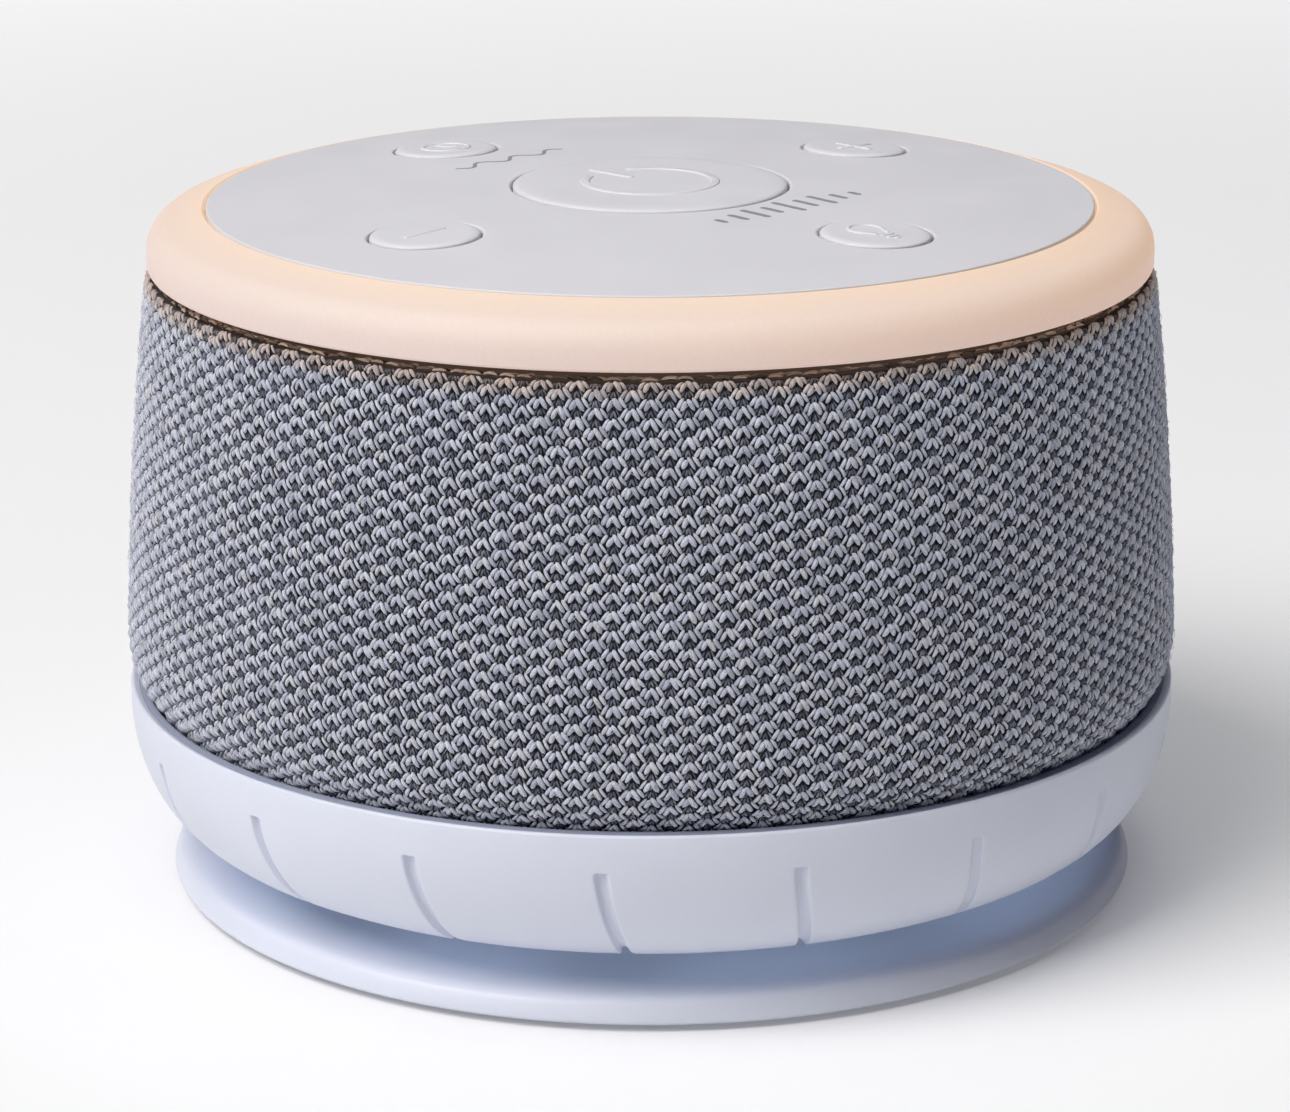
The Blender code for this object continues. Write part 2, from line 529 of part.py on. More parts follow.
def make_carrier():
    """The disc on the pillars that carries the boards and, on its rim, the light ring."""
    outline = [(0, CARRIER_BOTTOM), (62.0 * MM, CARRIER_BOTTOM), (62.0 * MM, CARRIER_TOP),
               (60.8 * MM, CARRIER_TOP), (60.8 * MM, RING_BOTTOM - GAP), (59.3 * MM, RING_BOTTOM - GAP),
               (59.3 * MM, CARRIER_TOP), (0, CARRIER_TOP)]
    carrier = add("top_carrier", turned(outline, 36), "grey_plastic")
    bosses = pegs(3 * MM, CARRIER_TOP - MM, BOARD_BOTTOM - GAP, BOARD_SCREW_CIRCLE, BOARD_SCREW_ANGLES, 10)
    combine(carrier, bosses, "UNION")
    through = (CARRIER_BOTTOM - 0.5 * MM, CARRIER_TOP + 0.7 * MM)
    holes = pegs(1.4 * MM, CARRIER_BOTTOM + 0.4 * MM, BOARD_TOP, BOARD_SCREW_CIRCLE, BOARD_SCREW_ANGLES)
    holes += pegs(1.7 * MM, *through, PILLAR_CIRCLE, PILLAR_ANGLES)
    holes += pegs(2.2 * MM, *through, HARNESS_UPPER_CIRCLE, [HARNESS_ANGLE])
    combine(carrier, holes, "DIFFERENCE")
    for number, angle in enumerate(PILLAR_ANGLES, 1):
        screw(f"carrier_screw_{number}", on_circle(PILLAR_CIRCLE, angle), 2.8 * MM, 1.25 * MM,
              68 * MM, CARRIER_TOP + GAP, CARRIER_TOP + GAP + 1.6 * MM)


def make_boards():
    """The control board on its three screws, and the narrow board with twelve lamps."""
    board = add("control_board", washer(0, BOARD_RADIUS, BOARD_BOTTOM, BOARD_TOP), "circuit_board")
    holes = pegs(1.5 * MM, 79 * MM, 81 * MM, BOARD_SCREW_CIRCLE, BOARD_SCREW_ANGLES)
    combine(board, holes, "DIFFERENCE")
    for number, angle in enumerate(BOARD_SCREW_ANGLES, 1):
        screw(f"board_screw_{number}", on_circle(BOARD_SCREW_CIRCLE, angle), 2.4 * MM, 1.1 * MM,
              77.2 * MM, BOARD_TOP + GAP, BOARD_TOP + GAP + 1.4 * MM)
    outline = [(55.6 * MM, BOARD_BOTTOM), (59.0 * MM, BOARD_BOTTOM), (59.0 * MM, BOARD_TOP),
               (58.7 * MM, BOARD_TOP), (56.9 * MM, BOARD_TOP), (55.6 * MM, BOARD_TOP)]
    bm = turned(outline, INNER_SEGMENTS)
    bm.faces.ensure_lookup_table()
    lamps = []
    for face in bm.faces:
        middle = face.calc_center_median()
        reach = sqrt(middle.x ** 2 + middle.y ** 2)
        cell = degrees(atan2(middle.y, middle.x)) // (360 / INNER_SEGMENTS)
        if middle.z > BOARD_TOP - 0.01 * MM and 57 * MM < reach < 58 * MM and cell % 2 == 0:
            lamps.append(face)
    raised = bmesh.ops.extrude_discrete_faces(bm, faces=lamps)["faces"]
    verts = {v for face in raised for v in face.verts}
    bmesh.ops.translate(bm, verts=list(verts), vec=(0, 0, LAMP_HEIGHT))
    add("lamp_ring_board", bm, "circuit_board")


def make_panel():
    """The domed panel with five button holes and a skirt that keeps the ring's light outside."""
    rise = [0.0, 26.0, 46.0]
    outline = [(r * MM, dome(r * MM)) for r in rise]
    outline += [(PANEL_RADIUS - 0.5 * MM, dome(PANEL_RADIUS - 0.5 * MM)),
                (PANEL_RADIUS, dome(PANEL_RADIUS) - 0.4 * MM),
                (PANEL_RADIUS, PANEL_EDGE - PANEL_THICKNESS), (SKIRT_OUTER, PANEL_EDGE - PANEL_THICKNESS),
                (SKIRT_OUTER, SKIRT_BOTTOM), (SKIRT_INNER, SKIRT_BOTTOM),
                (SKIRT_INNER, dome(SKIRT_INNER) - PANEL_THICKNESS)]
    outline += [(r * MM, dome(r * MM) - PANEL_THICKNESS) for r in reversed(rise)]
    panel = add("top_panel", turned(outline), "panel_plastic")
    through = (85 * MM, 95 * MM)
    holes = [washer(0, POWER_RADIUS + BUTTON_GAP, *through, 28)]
    holes += pegs(SMALL_RADIUS + BUTTON_GAP, *through, SMALL_CIRCLE, SMALL_BUTTONS.values(), 16)
    combine(panel, holes, "DIFFERENCE")


def button_outline(radius, flange, stem, stem_end):
    """A capped cup with a retaining flange and a stem, from its top surface at height 0 downwards."""
    under = -PANEL_THICKNESS - 0.7 * MM
    inner = radius - 1.6 * MM
    return [(0, 0), (radius - 0.6 * MM, 0), (radius, -0.5 * MM), (radius, under), (radius + flange, under),
            (radius + flange, under - 1.1 * MM), (inner, under - 1.1 * MM), (inner, -2.0 * MM),
            (stem, -2.0 * MM), (stem, stem_end), (0, stem_end)]


def make_switch(name, at):
    """A push switch on the control board, and its plunger, which travels with the button."""
    x, y = at
    half = SWITCH_HALF_WIDTH
    body = block((x - half, y - half, BOARD_TOP + GAP), (x + half, y + half, SWITCH_TOP))
    body = add(name + "_switch", body, "black_plastic")
    well = washer(0, PLUNGER_RADIUS + 0.4 * MM, PLUNGER_BOTTOM - 1.1 * MM, SWITCH_TOP + 1.8 * MM, 12, at)
    combine(body, [well], "DIFFERENCE")
    add(name + "_plunger", washer(0, PLUNGER_RADIUS, PLUNGER_BOTTOM, PLUNGER_TOP, 12, at), "grey_plastic")


def make_buttons():
    """The power button in the middle and four small buttons that lean with the dome."""
    top = dome(0) + BUTTON_PROUD
    axis = hinge_empty("power_axis", (0, 0, top))
    bm = turned(button_outline(POWER_RADIUS, POWER_FLANGE, POWER_STEM, STEM_END - top), 28)
    for v in bm.verts:
        if v.co.z == 0:
            v.co.z -= PANEL_RISE * (v.co.xy.length / RING_INNER) ** 2
    add("power_button", bm, "panel_plastic", axis)
    make_switch("power", (0.0, 0.0))
    lean = 2 * PANEL_RISE * SMALL_CIRCLE / RING_INNER ** 2
    for name, angle in SMALL_BUTTONS.items():
        x, y = on_circle(SMALL_CIRCLE, angle)
        top = dome(SMALL_CIRCLE) + BUTTON_PROUD
        axis = hinge_empty(name + "_axis", (x, y, top), tilt=-lean, turn=radians(angle - 90))
        bm = turned(button_outline(SMALL_RADIUS, SMALL_FLANGE, SMALL_STEM, STEM_END - top), 16)
        add(name + "_button", bm, "panel_plastic", axis)
        make_switch(name, (x, y))


# ---------------------------------------------------------------- motor and fan

def make_motor_mount():
    """Three rubber isolators on the floor, and the bracket that their screws hold."""
    for number, angle in enumerate(PILLAR_ANGLES, 1):
        spot = on_circle(ISOLATOR_CIRCLE, angle)
        rubber = washer(ISOLATOR_INNER, ISOLATOR_OUTER, FLOOR_TOP + GAP, BRACKET_BOTTOM - GAP, 12, spot)
        add(f"isolator_{number}", rubber, "rubber")
        screw(f"bracket_screw_{number}", spot, 3 * MM, 1.4 * MM,
              14.3 * MM, BRACKET_TOP + GAP, BRACKET_TOP + GAP + 1.6 * MM)
    bracket = add("motor_bracket", washer(0, SHROUD_OUTER, BRACKET_BOTTOM, BRACKET_TOP), "steel")
    through = (BRACKET_BOTTOM - 1.1 * MM, BRACKET_TOP + 1.1 * MM)
    holes = pegs(9 * MM, *through, 31 * MM, [a + 60 for a in PILLAR_ANGLES], 12)
    holes += pegs(ISOLATOR_INNER, *through, ISOLATOR_CIRCLE, PILLAR_ANGLES)
    combine(bracket, holes, "DIFFERENCE")


def make_motor():
    """The motor's can, stator and bearings, which stay still, and its shaft and magnet, which turn."""
    base = BRACKET_TOP + GAP
    mouth = BEARING_RADIUS + GAP
    lid = CAN_TOP - 2 * MM
    can = [(CAN_INNER, base), (CAN_OUTER, base), (CAN_OUTER, CAN_TOP), (mouth, CAN_TOP), (mouth, lid),
           (CAN_INNER, lid)]
    add("motor_can", turned(can, INNER_SEGMENTS), "steel")
    stator = add("stator", washer(9.3 * MM, CAN_INNER - GAP, 27 * MM, 38 * MM), "copper")
    slots = [turned_copy(block((8 * MM, -MM, 26 * MM), (13.5 * MM, MM, 39 * MM)), 60 * n) for n in range(6)]
    combine(stator, slots, "DIFFERENCE")
    running = SHAFT_RADIUS + RUNNING_GAP
    add("bearing_lower", washer(running, BEARING_RADIUS, base, 25.8 * MM), "bronze")
    add("bearing_upper", washer(running, BEARING_RADIUS, lid + 0.2 * MM, CAN_TOP), "bronze")
    axis = hinge_empty("fan_axis")
    add("motor_shaft", washer(0, SHAFT_RADIUS, base + GAP, SHAFT_TOP), "steel", axis)
    add("rotor_magnet", washer(SHAFT_RADIUS + GAP, 8.8 * MM, 26.5 * MM, 38.5 * MM), "grey_plastic", axis)
    make_fan(axis)


def make_fan(axis):
    """The impeller: a hub, a back plate and swept blades."""
    bore = SHAFT_RADIUS + GAP
    hub = 6.5 * MM
    plate = FAN_BACK + 1.6 * MM
    outline = [(bore, 45.5 * MM), (hub, 45.5 * MM), (hub, FAN_BACK), (FAN_RADIUS, FAN_BACK),
               (FAN_RADIUS, plate), (hub, plate), (hub - MM, 58 * MM), (bore, 58 * MM)]
    fan = add("fan_impeller", turned(outline, INNER_SEGMENTS), "grey_plastic", axis)
    blades = []
    steps, tip = 3, FAN_RADIUS - MM
    for n in range(BLADES):
        sides = ([], [])
        for step in range(steps + 1):
            share = step / steps
            radius = BLADE_START + (tip - BLADE_START) * share
            sweep = 360.0 / BLADES * n - BLADE_SWEEP * share ** 1.3
            for side, offset in zip(sides, (-BLADE_HALF_THICKNESS, BLADE_HALF_THICKNESS)):
                side.append(on_circle(radius, sweep + degrees(offset / radius)))
        blades.append(extruded(sides[0] + sides[1][::-1], FAN_BACK + MM, FAN_FRONT))
    combine(fan, blades, "UNION")


def make_shroud():
    """The slotted chamber round the fan."""
    heights = [SHROUD_BOTTOM, 27 * MM, 41 * MM, 46 * MM, 68 * MM, SHROUD_TOP]
    rows = [((SHROUD_OUTER, z), (SHROUD_INNER, z)) for z in heights]
    columns = [360.0 / SHROUD_SLOTS * n + side for n in range(SHROUD_SLOTS)
               for side in (-SHROUD_SLOT_HALF_ANGLE, SHROUD_SLOT_HALF_ANGLE)]
    add("fan_shroud", cell_wall(rows, columns, lambda i, j: i in (1, 3) and j % 2 == 0), "grey_plastic")


# ---------------------------------------------------------------- wiring

def cable(name, radius, points):
    """A round cable along a smooth curve through its points, with filled ends."""
    smooth = []
    for a, b, c, d in zip([points[0]] + points, points, points[1:], points[2:] + [points[-1]]):
        a, b, c, d = (Vector(p) for p in (a, b, c, d))
        for step in range(2):
            t = step / 2
            smooth.append(0.5 * (2 * b + (c - a) * t + (2 * a - 5 * b + 4 * c - d) * t ** 2
                                 + (3 * b - a - 3 * c + d) * t ** 3))
    smooth.append(Vector(points[-1]))
    curve = bpy.data.curves.new(name, "CURVE")
    curve.dimensions = "3D"
    curve.bevel_depth = radius
    curve.bevel_resolution = 2
    curve.use_fill_caps = True
    spline = curve.splines.new("POLY")
    spline.points.add(len(smooth) - 1)
    for point, place in zip(spline.points, smooth):
        point.co = (*place, 1.0)
    curve.materials.append(material("cable"))
    bpy.context.scene.collection.objects.link(bpy.data.objects.new(name, curve))


def make_wiring():
    """The motor's lead, and the harness from the main board up to the control board."""
    lead = [(19.4, 36), (22.5, 35.4), (25.5, 32), (26.2, 26), (25, 20), (24, 14.6)]
    harness = [(34, 14.6), (35.5, 17.4), (42, 18.4), (49, 19.2), (51.9, 24), (51.8, 45), (51.5, 66),
               (51.5, 80), (49, 83.4), (45.5, 82.4)]
    for name, radius, angle, route in (("motor_lead", 1.1 * MM, LEAD_ANGLE, lead),
                                       ("panel_harness", MM, HARNESS_ANGLE, harness)):
        cable(name, radius, [(*on_circle(r * MM, angle), z * MM) for r, z in route])


def build():
    """Empties the scene and makes every piece."""
    for old in list(bpy.data.objects):
        bpy.data.objects.remove(old)
    for make in (make_base, make_inlet, make_housing, make_collar, make_drum, make_sleeve, make_ring,
                 make_carrier, make_boards, make_panel, make_buttons, make_motor_mount, make_motor,
                 make_shroud, make_wiring):
        make()


build()
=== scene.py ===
"""The looks of a bedside fan sound machine with a night-light ring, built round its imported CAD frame.

The sleeve is knitted leg by leg, the panel, buttons, light ring, tone collar, base plate and foot are
remade with fine edges, and every other CAD node gets a procedural material. +Z is up and -Y is the
front. Lengths are in millimetres, and become metres where a mesh is made.
"""
from math import asin, atan2, comb, cos, degrees, hypot, pi, radians, sin, tan

import bpy
import numpy as np
from mathutils import Matrix, Vector
from mathutils.geometry import delaunay_2d_cdt


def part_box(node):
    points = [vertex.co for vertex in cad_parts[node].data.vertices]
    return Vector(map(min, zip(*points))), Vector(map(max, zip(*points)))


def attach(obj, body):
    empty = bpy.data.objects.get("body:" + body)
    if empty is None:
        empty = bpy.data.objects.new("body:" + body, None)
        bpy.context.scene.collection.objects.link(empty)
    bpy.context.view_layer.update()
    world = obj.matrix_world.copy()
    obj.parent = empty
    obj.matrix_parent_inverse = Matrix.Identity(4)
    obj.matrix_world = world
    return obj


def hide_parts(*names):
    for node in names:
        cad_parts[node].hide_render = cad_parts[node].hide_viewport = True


MM = 0.001

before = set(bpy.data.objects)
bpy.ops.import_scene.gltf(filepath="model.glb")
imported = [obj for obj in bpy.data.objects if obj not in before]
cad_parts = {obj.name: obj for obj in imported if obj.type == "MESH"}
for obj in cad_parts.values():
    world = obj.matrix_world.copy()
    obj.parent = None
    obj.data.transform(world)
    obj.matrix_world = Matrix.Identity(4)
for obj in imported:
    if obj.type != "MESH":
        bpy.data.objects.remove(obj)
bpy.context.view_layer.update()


# ---- sizes

def round_box(node):
    """Outer radius, lowest point and highest point of a round CAD node, in mm."""
    low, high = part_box(node)
    return max(high.x, high.y) / MM, low.z / MM, high.z / MM


PLATE_RADIUS, PLATE_BOTTOM, _ = round_box("base_plate")
FOOT_RADIUS, FOOT_BOTTOM, FOOT_TOP = round_box("rubber_foot_ring")
COLLAR_RADIUS, COLLAR_BOTTOM, COLLAR_TOP = round_box("tone_collar")
SLEEVE_RADIUS, _, SLEEVE_TOP = round_box("fabric_sleeve")
RING_RADIUS, RING_BOTTOM, RING_TOP = round_box("light_ring")
PANEL_RADIUS, PANEL_BOTTOM, _ = round_box("top_panel")

SEGMENTS = 240  # columns round the outer turned pieces

# base plate and foot
PLATE_TOP = 3.95
PLATE_RIM = [(64.3, PLATE_BOTTOM), (PLATE_RADIUS, PLATE_BOTTOM + 0.4), (64.55, 2.1), (63.95, 3.25),
             (63.4, 3.72), (62.8, PLATE_TOP)]  # radius and height along the roll
PLATE_CREST, CREST_RISE = 61.5, 0.02
SEAT_INNER, SEAT_OUTER, SEAT_DEPTH = 48.0, 58.0, 1.0  # the foot ring's groove
FOOT_INNER, FOOT_MIDDLE, FOOT_ROUNDING = 48.3, 53.0, 0.3
FOOT_GAP = 3.5  # half of the opening that the cable passes
SCREW_CIRCLE, SCREW_SEAT, SCREW_HOLE, SEAT_TOP = 40.0, 3.4, 1.8, 2.3
SCREW_ANGLES = (45, 135, 225, 315)
JACK_BOX = ((-8.5, 12, 2), (8.5, 42, 13.2))  # two corners of the walls round the plug's recess
JACK_RECESS = ((-7, 13.5, 0), (7, 40.5, 12))
CABLE_CHANNEL = ((-2.5, 38, 0.5), (2.5, 67, 6))
JACK_WINDOW, JACK_HEIGHT = 4.4, 7.6  # radius and height of the opening in the recess's end

# tone collar
CURVE_WIDTH, CURVE_HEIGHT = 11.0, 16.5
STRAIGHT_FROM = 25.0
COLLAR_WALL = 2.0
GROOVES = 18
GROOVE_TOP = 22.5
GROOVE_END = 0.3  # height over which a groove runs out at its top
GROOVE_DEPTH = 0.9
GROOVE_SECTION = [(-1.25, 0.0), (-0.92, 0.0), (-0.84, 0.08), (-0.76, 0.34), (-0.68, 0.72), (-0.58, 0.94),
                  (-0.46, 1.0), (-0.20, 0.96), (0.10, 0.84), (0.36, 0.68), (0.56, 0.52), (0.68, 0.38),
                  (0.77, 0.18), (0.85, 0.05), (0.93, 0.0), (1.25, 0.0)]  # mm across, share of the depth
GROOVE_SLANT = 2.2  # degrees that a groove's foot is turned ahead of its head
PORTS, PORT_INNER, PORT_OUTER, PORT_START, PORT_WIDTH = 9, 49.2, 56.8, 13.0, 14.0
PORT_PITCH = 360.0 / PORTS
FLANGE_INNER, FLANGE_BOTTOM, FLANGE_TOP = 46.4, 11.4, 13.0
BOWL_OVER, BOWL_UNDER, BOWL_FOOT = 60.0, 60.6, 59.9  # inner radii over, under and well below the flange
INSIDE_REACH = 60.35  # faces under the flange and within it are the bowl's inside
# faces on the collar's top further in than this from its edge get painted shade, for the shade of the
# overhanging knit
LIP_WIDTH = 1.0

# light ring
RING_INNER = PANEL_RADIUS + 0.3  # its inner edge, a gap outside the panel
RING_SHOULDER = 4.0
RING_SLOPE = radians(17.0)
RING_WALL = 1.8
RING_FOOT = 59.5  # inner radius of the lip it stands on

# panel and buttons
PANEL_RISE = 1.9
PANEL_THICKNESS = 2.2
PANEL_MESH, GUARD = 2.4, 0.12  # spacing of the sheet's points in the open, and next to an edge
SKIRT_INNER, SKIRT_OUTER, SKIRT_DROP = 53.6, 55.2, 1.9
POWER_RADIUS, POWER_FLANGE, POWER_STEM = 17.95, 1.65, 2.6
SMALL_RADIUS, SMALL_FLANGE, SMALL_STEM = 6.95, 1.4, 1.8
SMALL_CIRCLE = 39.6
SMALL_BUTTONS = {"minus": 180.0, "plus": 0.0, "night_light": 270.0, "timer": 90.0}
BUTTON_PROUD = 0.3
BUTTON_GAP = 0.35
BUTTON_WALL, BUTTON_ROOF, BUTTON_FLANGE = 1.6, 2.0, 1.1  # thicknesses
BUTTON_REST = 0.7  # from the panel's underside down to the flange
STEM_END = 85.4
HOLE_ROUNDING = (0.35, 0.2)  # width and depth of the soft edge of a button's hole,
EDGE_ROUNDING = (0.22, 0.16)  # of the panel
CAP_ROUNDING = (1.2, 0.4)  # and of a button's cap
ICON_HEIGHT, PRINT_HEIGHT = 0.15, 0.02
BARS = (1.2, 2.6, 4.2, 2.9, 5.0, 3.4, 4.4, 2.2, 1.2)  # heights of the printed level bars
BAR_X, BAR_Y, BAR_PITCH = 2.7, -22.3, 3.1
WAVE_Y, WAVE_HEIGHT, WAVE_LENGTH, WAVE_END = 26.8, 1.1, 6.4, 9.6

# sleeve and knit
WIDEST = 33.2  # height of the sleeve's widest line
SLEEVE_LEAN, SLEEVE_BOW = 1.93, 2.12  # how far it draws in above that, straight and curved
SLEEVE_FOOT = [(66.5, 24.6), (67.0, 26.2), (68.0, 27.7), (69.1, 29.5), (69.75, 31.7)]
WALES = 192  # columns of stitches round the sleeve
COURSE = 2.30  # height of one pattern row
WALE = 2 * pi * SLEEVE_RADIUS / WALES
PILE = 0.95  # from the ground cloth up to the crown of a stitch
CLOTH = 0.45  # thickness of the ground cloth
LIGHT_SECTORS, DARK_SECTORS = 8, 3  # pieces that the two colours of yarn are made in


# ---- mesh tools

def polar(radius, angle):
    """The point at a radius and an angle in degrees."""
    return radius * cos(radians(angle)), radius * sin(radians(angle))


def arc(centre, radius, start, end, steps):
    """Points along an arc, in degrees."""
    return [(centre[0] + x, centre[1] + y)
            for x, y in (polar(radius, start + (end - start) * n / steps) for n in range(steps + 1))]


def circle(centre, radius, count):
    """Points round a circle."""
    return arc(centre, radius, 0.0, 360.0, count)[:-1]


def rounded(corners, steps=5):
    """A closed outline from (x, y, rounding radius) corners, each turned by an arc."""
    points = []
    for before, here, after in zip(corners[-1:] + corners[:-1], corners, corners[1:] + corners[:1]):
        spot = Vector(here[:2])
        back, ahead = Vector(before[:2]) - spot, Vector(after[:2]) - spot
        half = back.angle(ahead) / 2
        if here[2] <= 0 or half > radians(89.5):
            points.append(tuple(spot))
            continue
        reach = min(here[2] / tan(half), 0.48 * back.length, 0.48 * ahead.length)
        radius = reach * tan(half)
        centre = spot + (back.normalized() + ahead.normalized()).normalized() * (radius / sin(half))
        start = spot + back.normalized() * reach - centre
        end = spot + ahead.normalized() * reach - centre
        sweep = atan2(start.x * end.y - start.y * end.x, start.dot(end))
        for step in range(steps + 1):
            points.append(tuple(centre + Matrix.Rotation(sweep * step / steps, 2) @ start))
    return points


def smooth_curve(points, steps):
    """A Catmull-Rom curve through points."""
    spots = [np.array(p, float) for p in points]
    ends = [2 * spots[0] - spots[1]] + spots + [2 * spots[-1] - spots[-2]]
    curve = []
    for a, b, c, d in zip(ends, ends[1:], ends[2:], ends[3:]):
        for step in range(steps):
            t = step / steps
            curve.append(tuple(0.5 * (2 * b + (c - a) * t + (2 * a - 5 * b + 4 * c - d) * t ** 2
                                      + (3 * b - a - 3 * c + d) * t ** 3)))
    return curve + [tuple(spots[-1])]


def turn(outline, columns, closed=True):
    """Points and faces of a closed, anticlockwise (radius, height) outline turned through degrees."""
    points, index, faces = [], {}, []
    for j, angle in enumerate(columns):
        for i, (r, z) in enumerate(outline):
            if r < 1e-6 and j:
                index[i, j] = index[i, 0]
                continue
            index[i, j] = len(points)
            points.append((*polar(r, angle), z))
    count, rows = len(columns), len(outline)
    for j in range(count if closed else count - 1):
        k = (j + 1) % count
        for i in range(rows):
            n = (i + 1) % rows
            corners = list(dict.fromkeys((index[i, j], index[i, k], index[n, k], index[n, j])))
            if len(corners) > 2:
                faces.append(corners)
    if not closed:
        faces.append([index[i, 0] for i in range(rows)])
        faces.append([index[i, count - 1] for i in reversed(range(rows))])
    return points, faces


def lathe(outline, segments=SEGMENTS):
    """Points and faces of a full turn of an outline."""
    return turn(outline, [360.0 * n / segments for n in range(segments)])


def joined(*shapes):
    """Several (points, faces) shapes as one."""
    points, faces = [], []
    for more_points, more_faces in shapes:
        faces += [[len(points) + i for i in face] for face in more_faces]
        points += list(more_points)
    return points, faces


def moved(shape, matrix):
    """A shape with its points transformed."""
    return [tuple(matrix @ Vector(p)) for p in shape[0]], shape[1]


def mesh_of(name, shape):
    """A mesh, in metres, of a shape in millimetres."""
    mesh = bpy.data.meshes.new(name)
    mesh.from_pydata([[x * MM for x in p] for p in shape[0]], [], shape[1])
    return mesh


def piece(name, shape, look, body, replaces=(), sharp=40.0):
    """A mesh piece from a shape, which rides on a body and stands for CAD nodes."""
    mesh = mesh_of(name, shape)
    mesh.shade_smooth()
    mesh.set_sharp_from_angle(angle=radians(sharp))
    return finish_piece(name, mesh, look, body, replaces)


def linked(name, data):
    """A new object in the scene."""
    made = bpy.data.objects.new(name, data)
    bpy.context.scene.collection.objects.link(made)
    return made


def finish_piece(name, mesh, look, body, replaces=()):
    """Makes a mesh a piece."""
    mesh.materials.append(look)
    made = linked(name, mesh)
    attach(made, body)
    if replaces:
        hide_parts(*replaces)
    return made


def cut(target, shapes, operation="DIFFERENCE"):
    """Cuts shapes out of a piece, or joins them to it, and keeps the result as its mesh."""
    for shape in shapes:
        tool = linked("tool", mesh_of("tool", shape))
        boolean = target.modifiers.new("boolean", "BOOLEAN")
        boolean.object = tool
        boolean.operation = operation
        bpy.context.view_layer.update()
        evaluated = target.evaluated_get(bpy.context.evaluated_depsgraph_get())
        result = bpy.data.meshes.new_from_object(evaluated)
        target.modifiers.clear()
        target.data = result
        bpy.data.objects.remove(tool)
    target.data.shade_smooth()
    target.data.set_sharp_from_angle(angle=radians(30))


def box_shape(low, high):
    """A box between two corners."""
    corners = [(x, y, z) for z in (low[2], high[2]) for y in (low[1], high[1]) for x in (low[0], high[0])]
    return corners, [(0, 2, 3, 1), (4, 5, 7, 6), (0, 1, 5, 4), (2, 6, 7, 3), (0, 4, 6, 2), (1, 3, 7, 5)]


def drum_shape(radius, low, high, at=(0.0, 0.0)):
    """A cylinder between two heights."""
    shape = lathe([(0, low), (radius, low), (radius, high), (0, high)], 32)
    return moved(shape, Matrix.Translation((*at, 0)))


# ---- materials

NOISE_LOW, NOISE_HIGH = 0.3, 0.7  # most of a noise's values lie between these


def node(tree, kind, output, inputs=None, **settings):
    """The output socket of a new shader node; its inputs are given as values or as sockets to link."""
    made = tree.nodes.new("ShaderNode" + kind)
    for name, value in settings.items():
        setattr(made, name, value)
    for key, value in (inputs or {}).items():
        if isinstance(value, bpy.types.NodeSocket):
            tree.links.new(value, made.inputs[key])
        else:
            made.inputs[key].default_value = value
    return made.outputs[output]


def new_look(name, **values):
    """A material with one Principled shader: returns the material, its tree and the shader."""
    made = bpy.data.materials.new(name)
    made.use_nodes = True
    shader = made.node_tree.nodes["Principled BSDF"]
    for key, value in values.items():
        shader.inputs[key.replace("_", " ")].default_value = value
    return made, made.node_tree, shader


def ramp(tree, factor, stops):
    """A colour from a factor, by (position, colour) stops."""
    made = node(tree, "ValToRGB", "Color", {"Fac": factor})
    elements = made.node.color_ramp.elements
    while len(elements) < len(stops):
        elements.new(0.5)
    for element, (position, colour) in zip(elements, stops):
        element.position = position
        element.color = (*colour, 1.0)
    return made


def object_noise(tree, size, detail=3.0, stretch=None):
    """Noise in the piece's own frame whose features are about size mm across."""
    place = node(tree, "TexCoord", "Object")
    if stretch:
        place = node(tree, "Mapping", "Vector", {"Vector": place, "Scale": stretch})
    return node(tree, "TexNoise", "Fac", {"Vector": place, "Scale": 1.0 / (size * MM), "Detail": detail,
                                          "Roughness": 0.55})


def spread(tree, noise, low, high):
    """A number between two, by a noise value."""
    return node(tree, "MapRange", "Result", {"Value": noise, "From Min": NOISE_LOW, "From Max": NOISE_HIGH,
                                             "To Min": low, "To Max": high})


def blend(tree, noise, low, high):
    """A colour between two, by a noise value."""
    return ramp(tree, noise, [(NOISE_LOW, low), (NOISE_HIGH, high)])


def tint(colour, share):
    """A colour made lighter or darker."""
    return tuple(min(1.0, c * share) for c in colour)


def multiplied(tree, first, second):
    """The product of two colours."""
    return node(tree, "Mix", "Result", {"Factor": 1.0, "A": first, "B": second}, data_type="RGBA",
                blend_type="MULTIPLY")


def relief(tree, shader, height, strength, depth):
    """Bumps up to depth mm high."""
    bump = node(tree, "Bump", "Normal", {"Height": height, "Strength": strength, "Distance": depth * MM})
    tree.links.new(bump, shader.inputs["Normal"])


def level_between(tree, low, high):
    """A value that rises from 0 to 1 between two heights in mm."""
    height = node(tree, "SeparateXYZ", "Z", {"Vector": node(tree, "TexCoord", "Object")})
    return node(tree, "MapRange", "Result", {"Value": height, "From Min": low * MM, "From Max": high * MM})


def moulded(name, colour, roughness, grain=0.28, depth=0.004, **values):
    """Moulded plastic: a fine spark-eroded grain, faint flow shading and a little wear in the gloss."""
    made, tree, shader = new_look(name, **values)
    flow = object_noise(tree, 26.0, 2.0)
    fine = object_noise(tree, grain, 2.0)
    contrast = 0.02
    drift = blend(tree, flow, tint(colour, 1 - contrast), tint(colour, 1 + contrast))
    speck = blend(tree, fine, tint((1, 1, 1), 1 - 1.2 * contrast), (1, 1, 1))
    tree.links.new(multiplied(tree, drift, speck), shader.inputs["Base Color"])
    wear = spread(tree, object_noise(tree, 9.0, 3.0), roughness - 0.04, roughness + 0.05)
    tree.links.new(wear, shader.inputs["Roughness"])
    relief(tree, shader, fine, 0.35, depth)
    return made


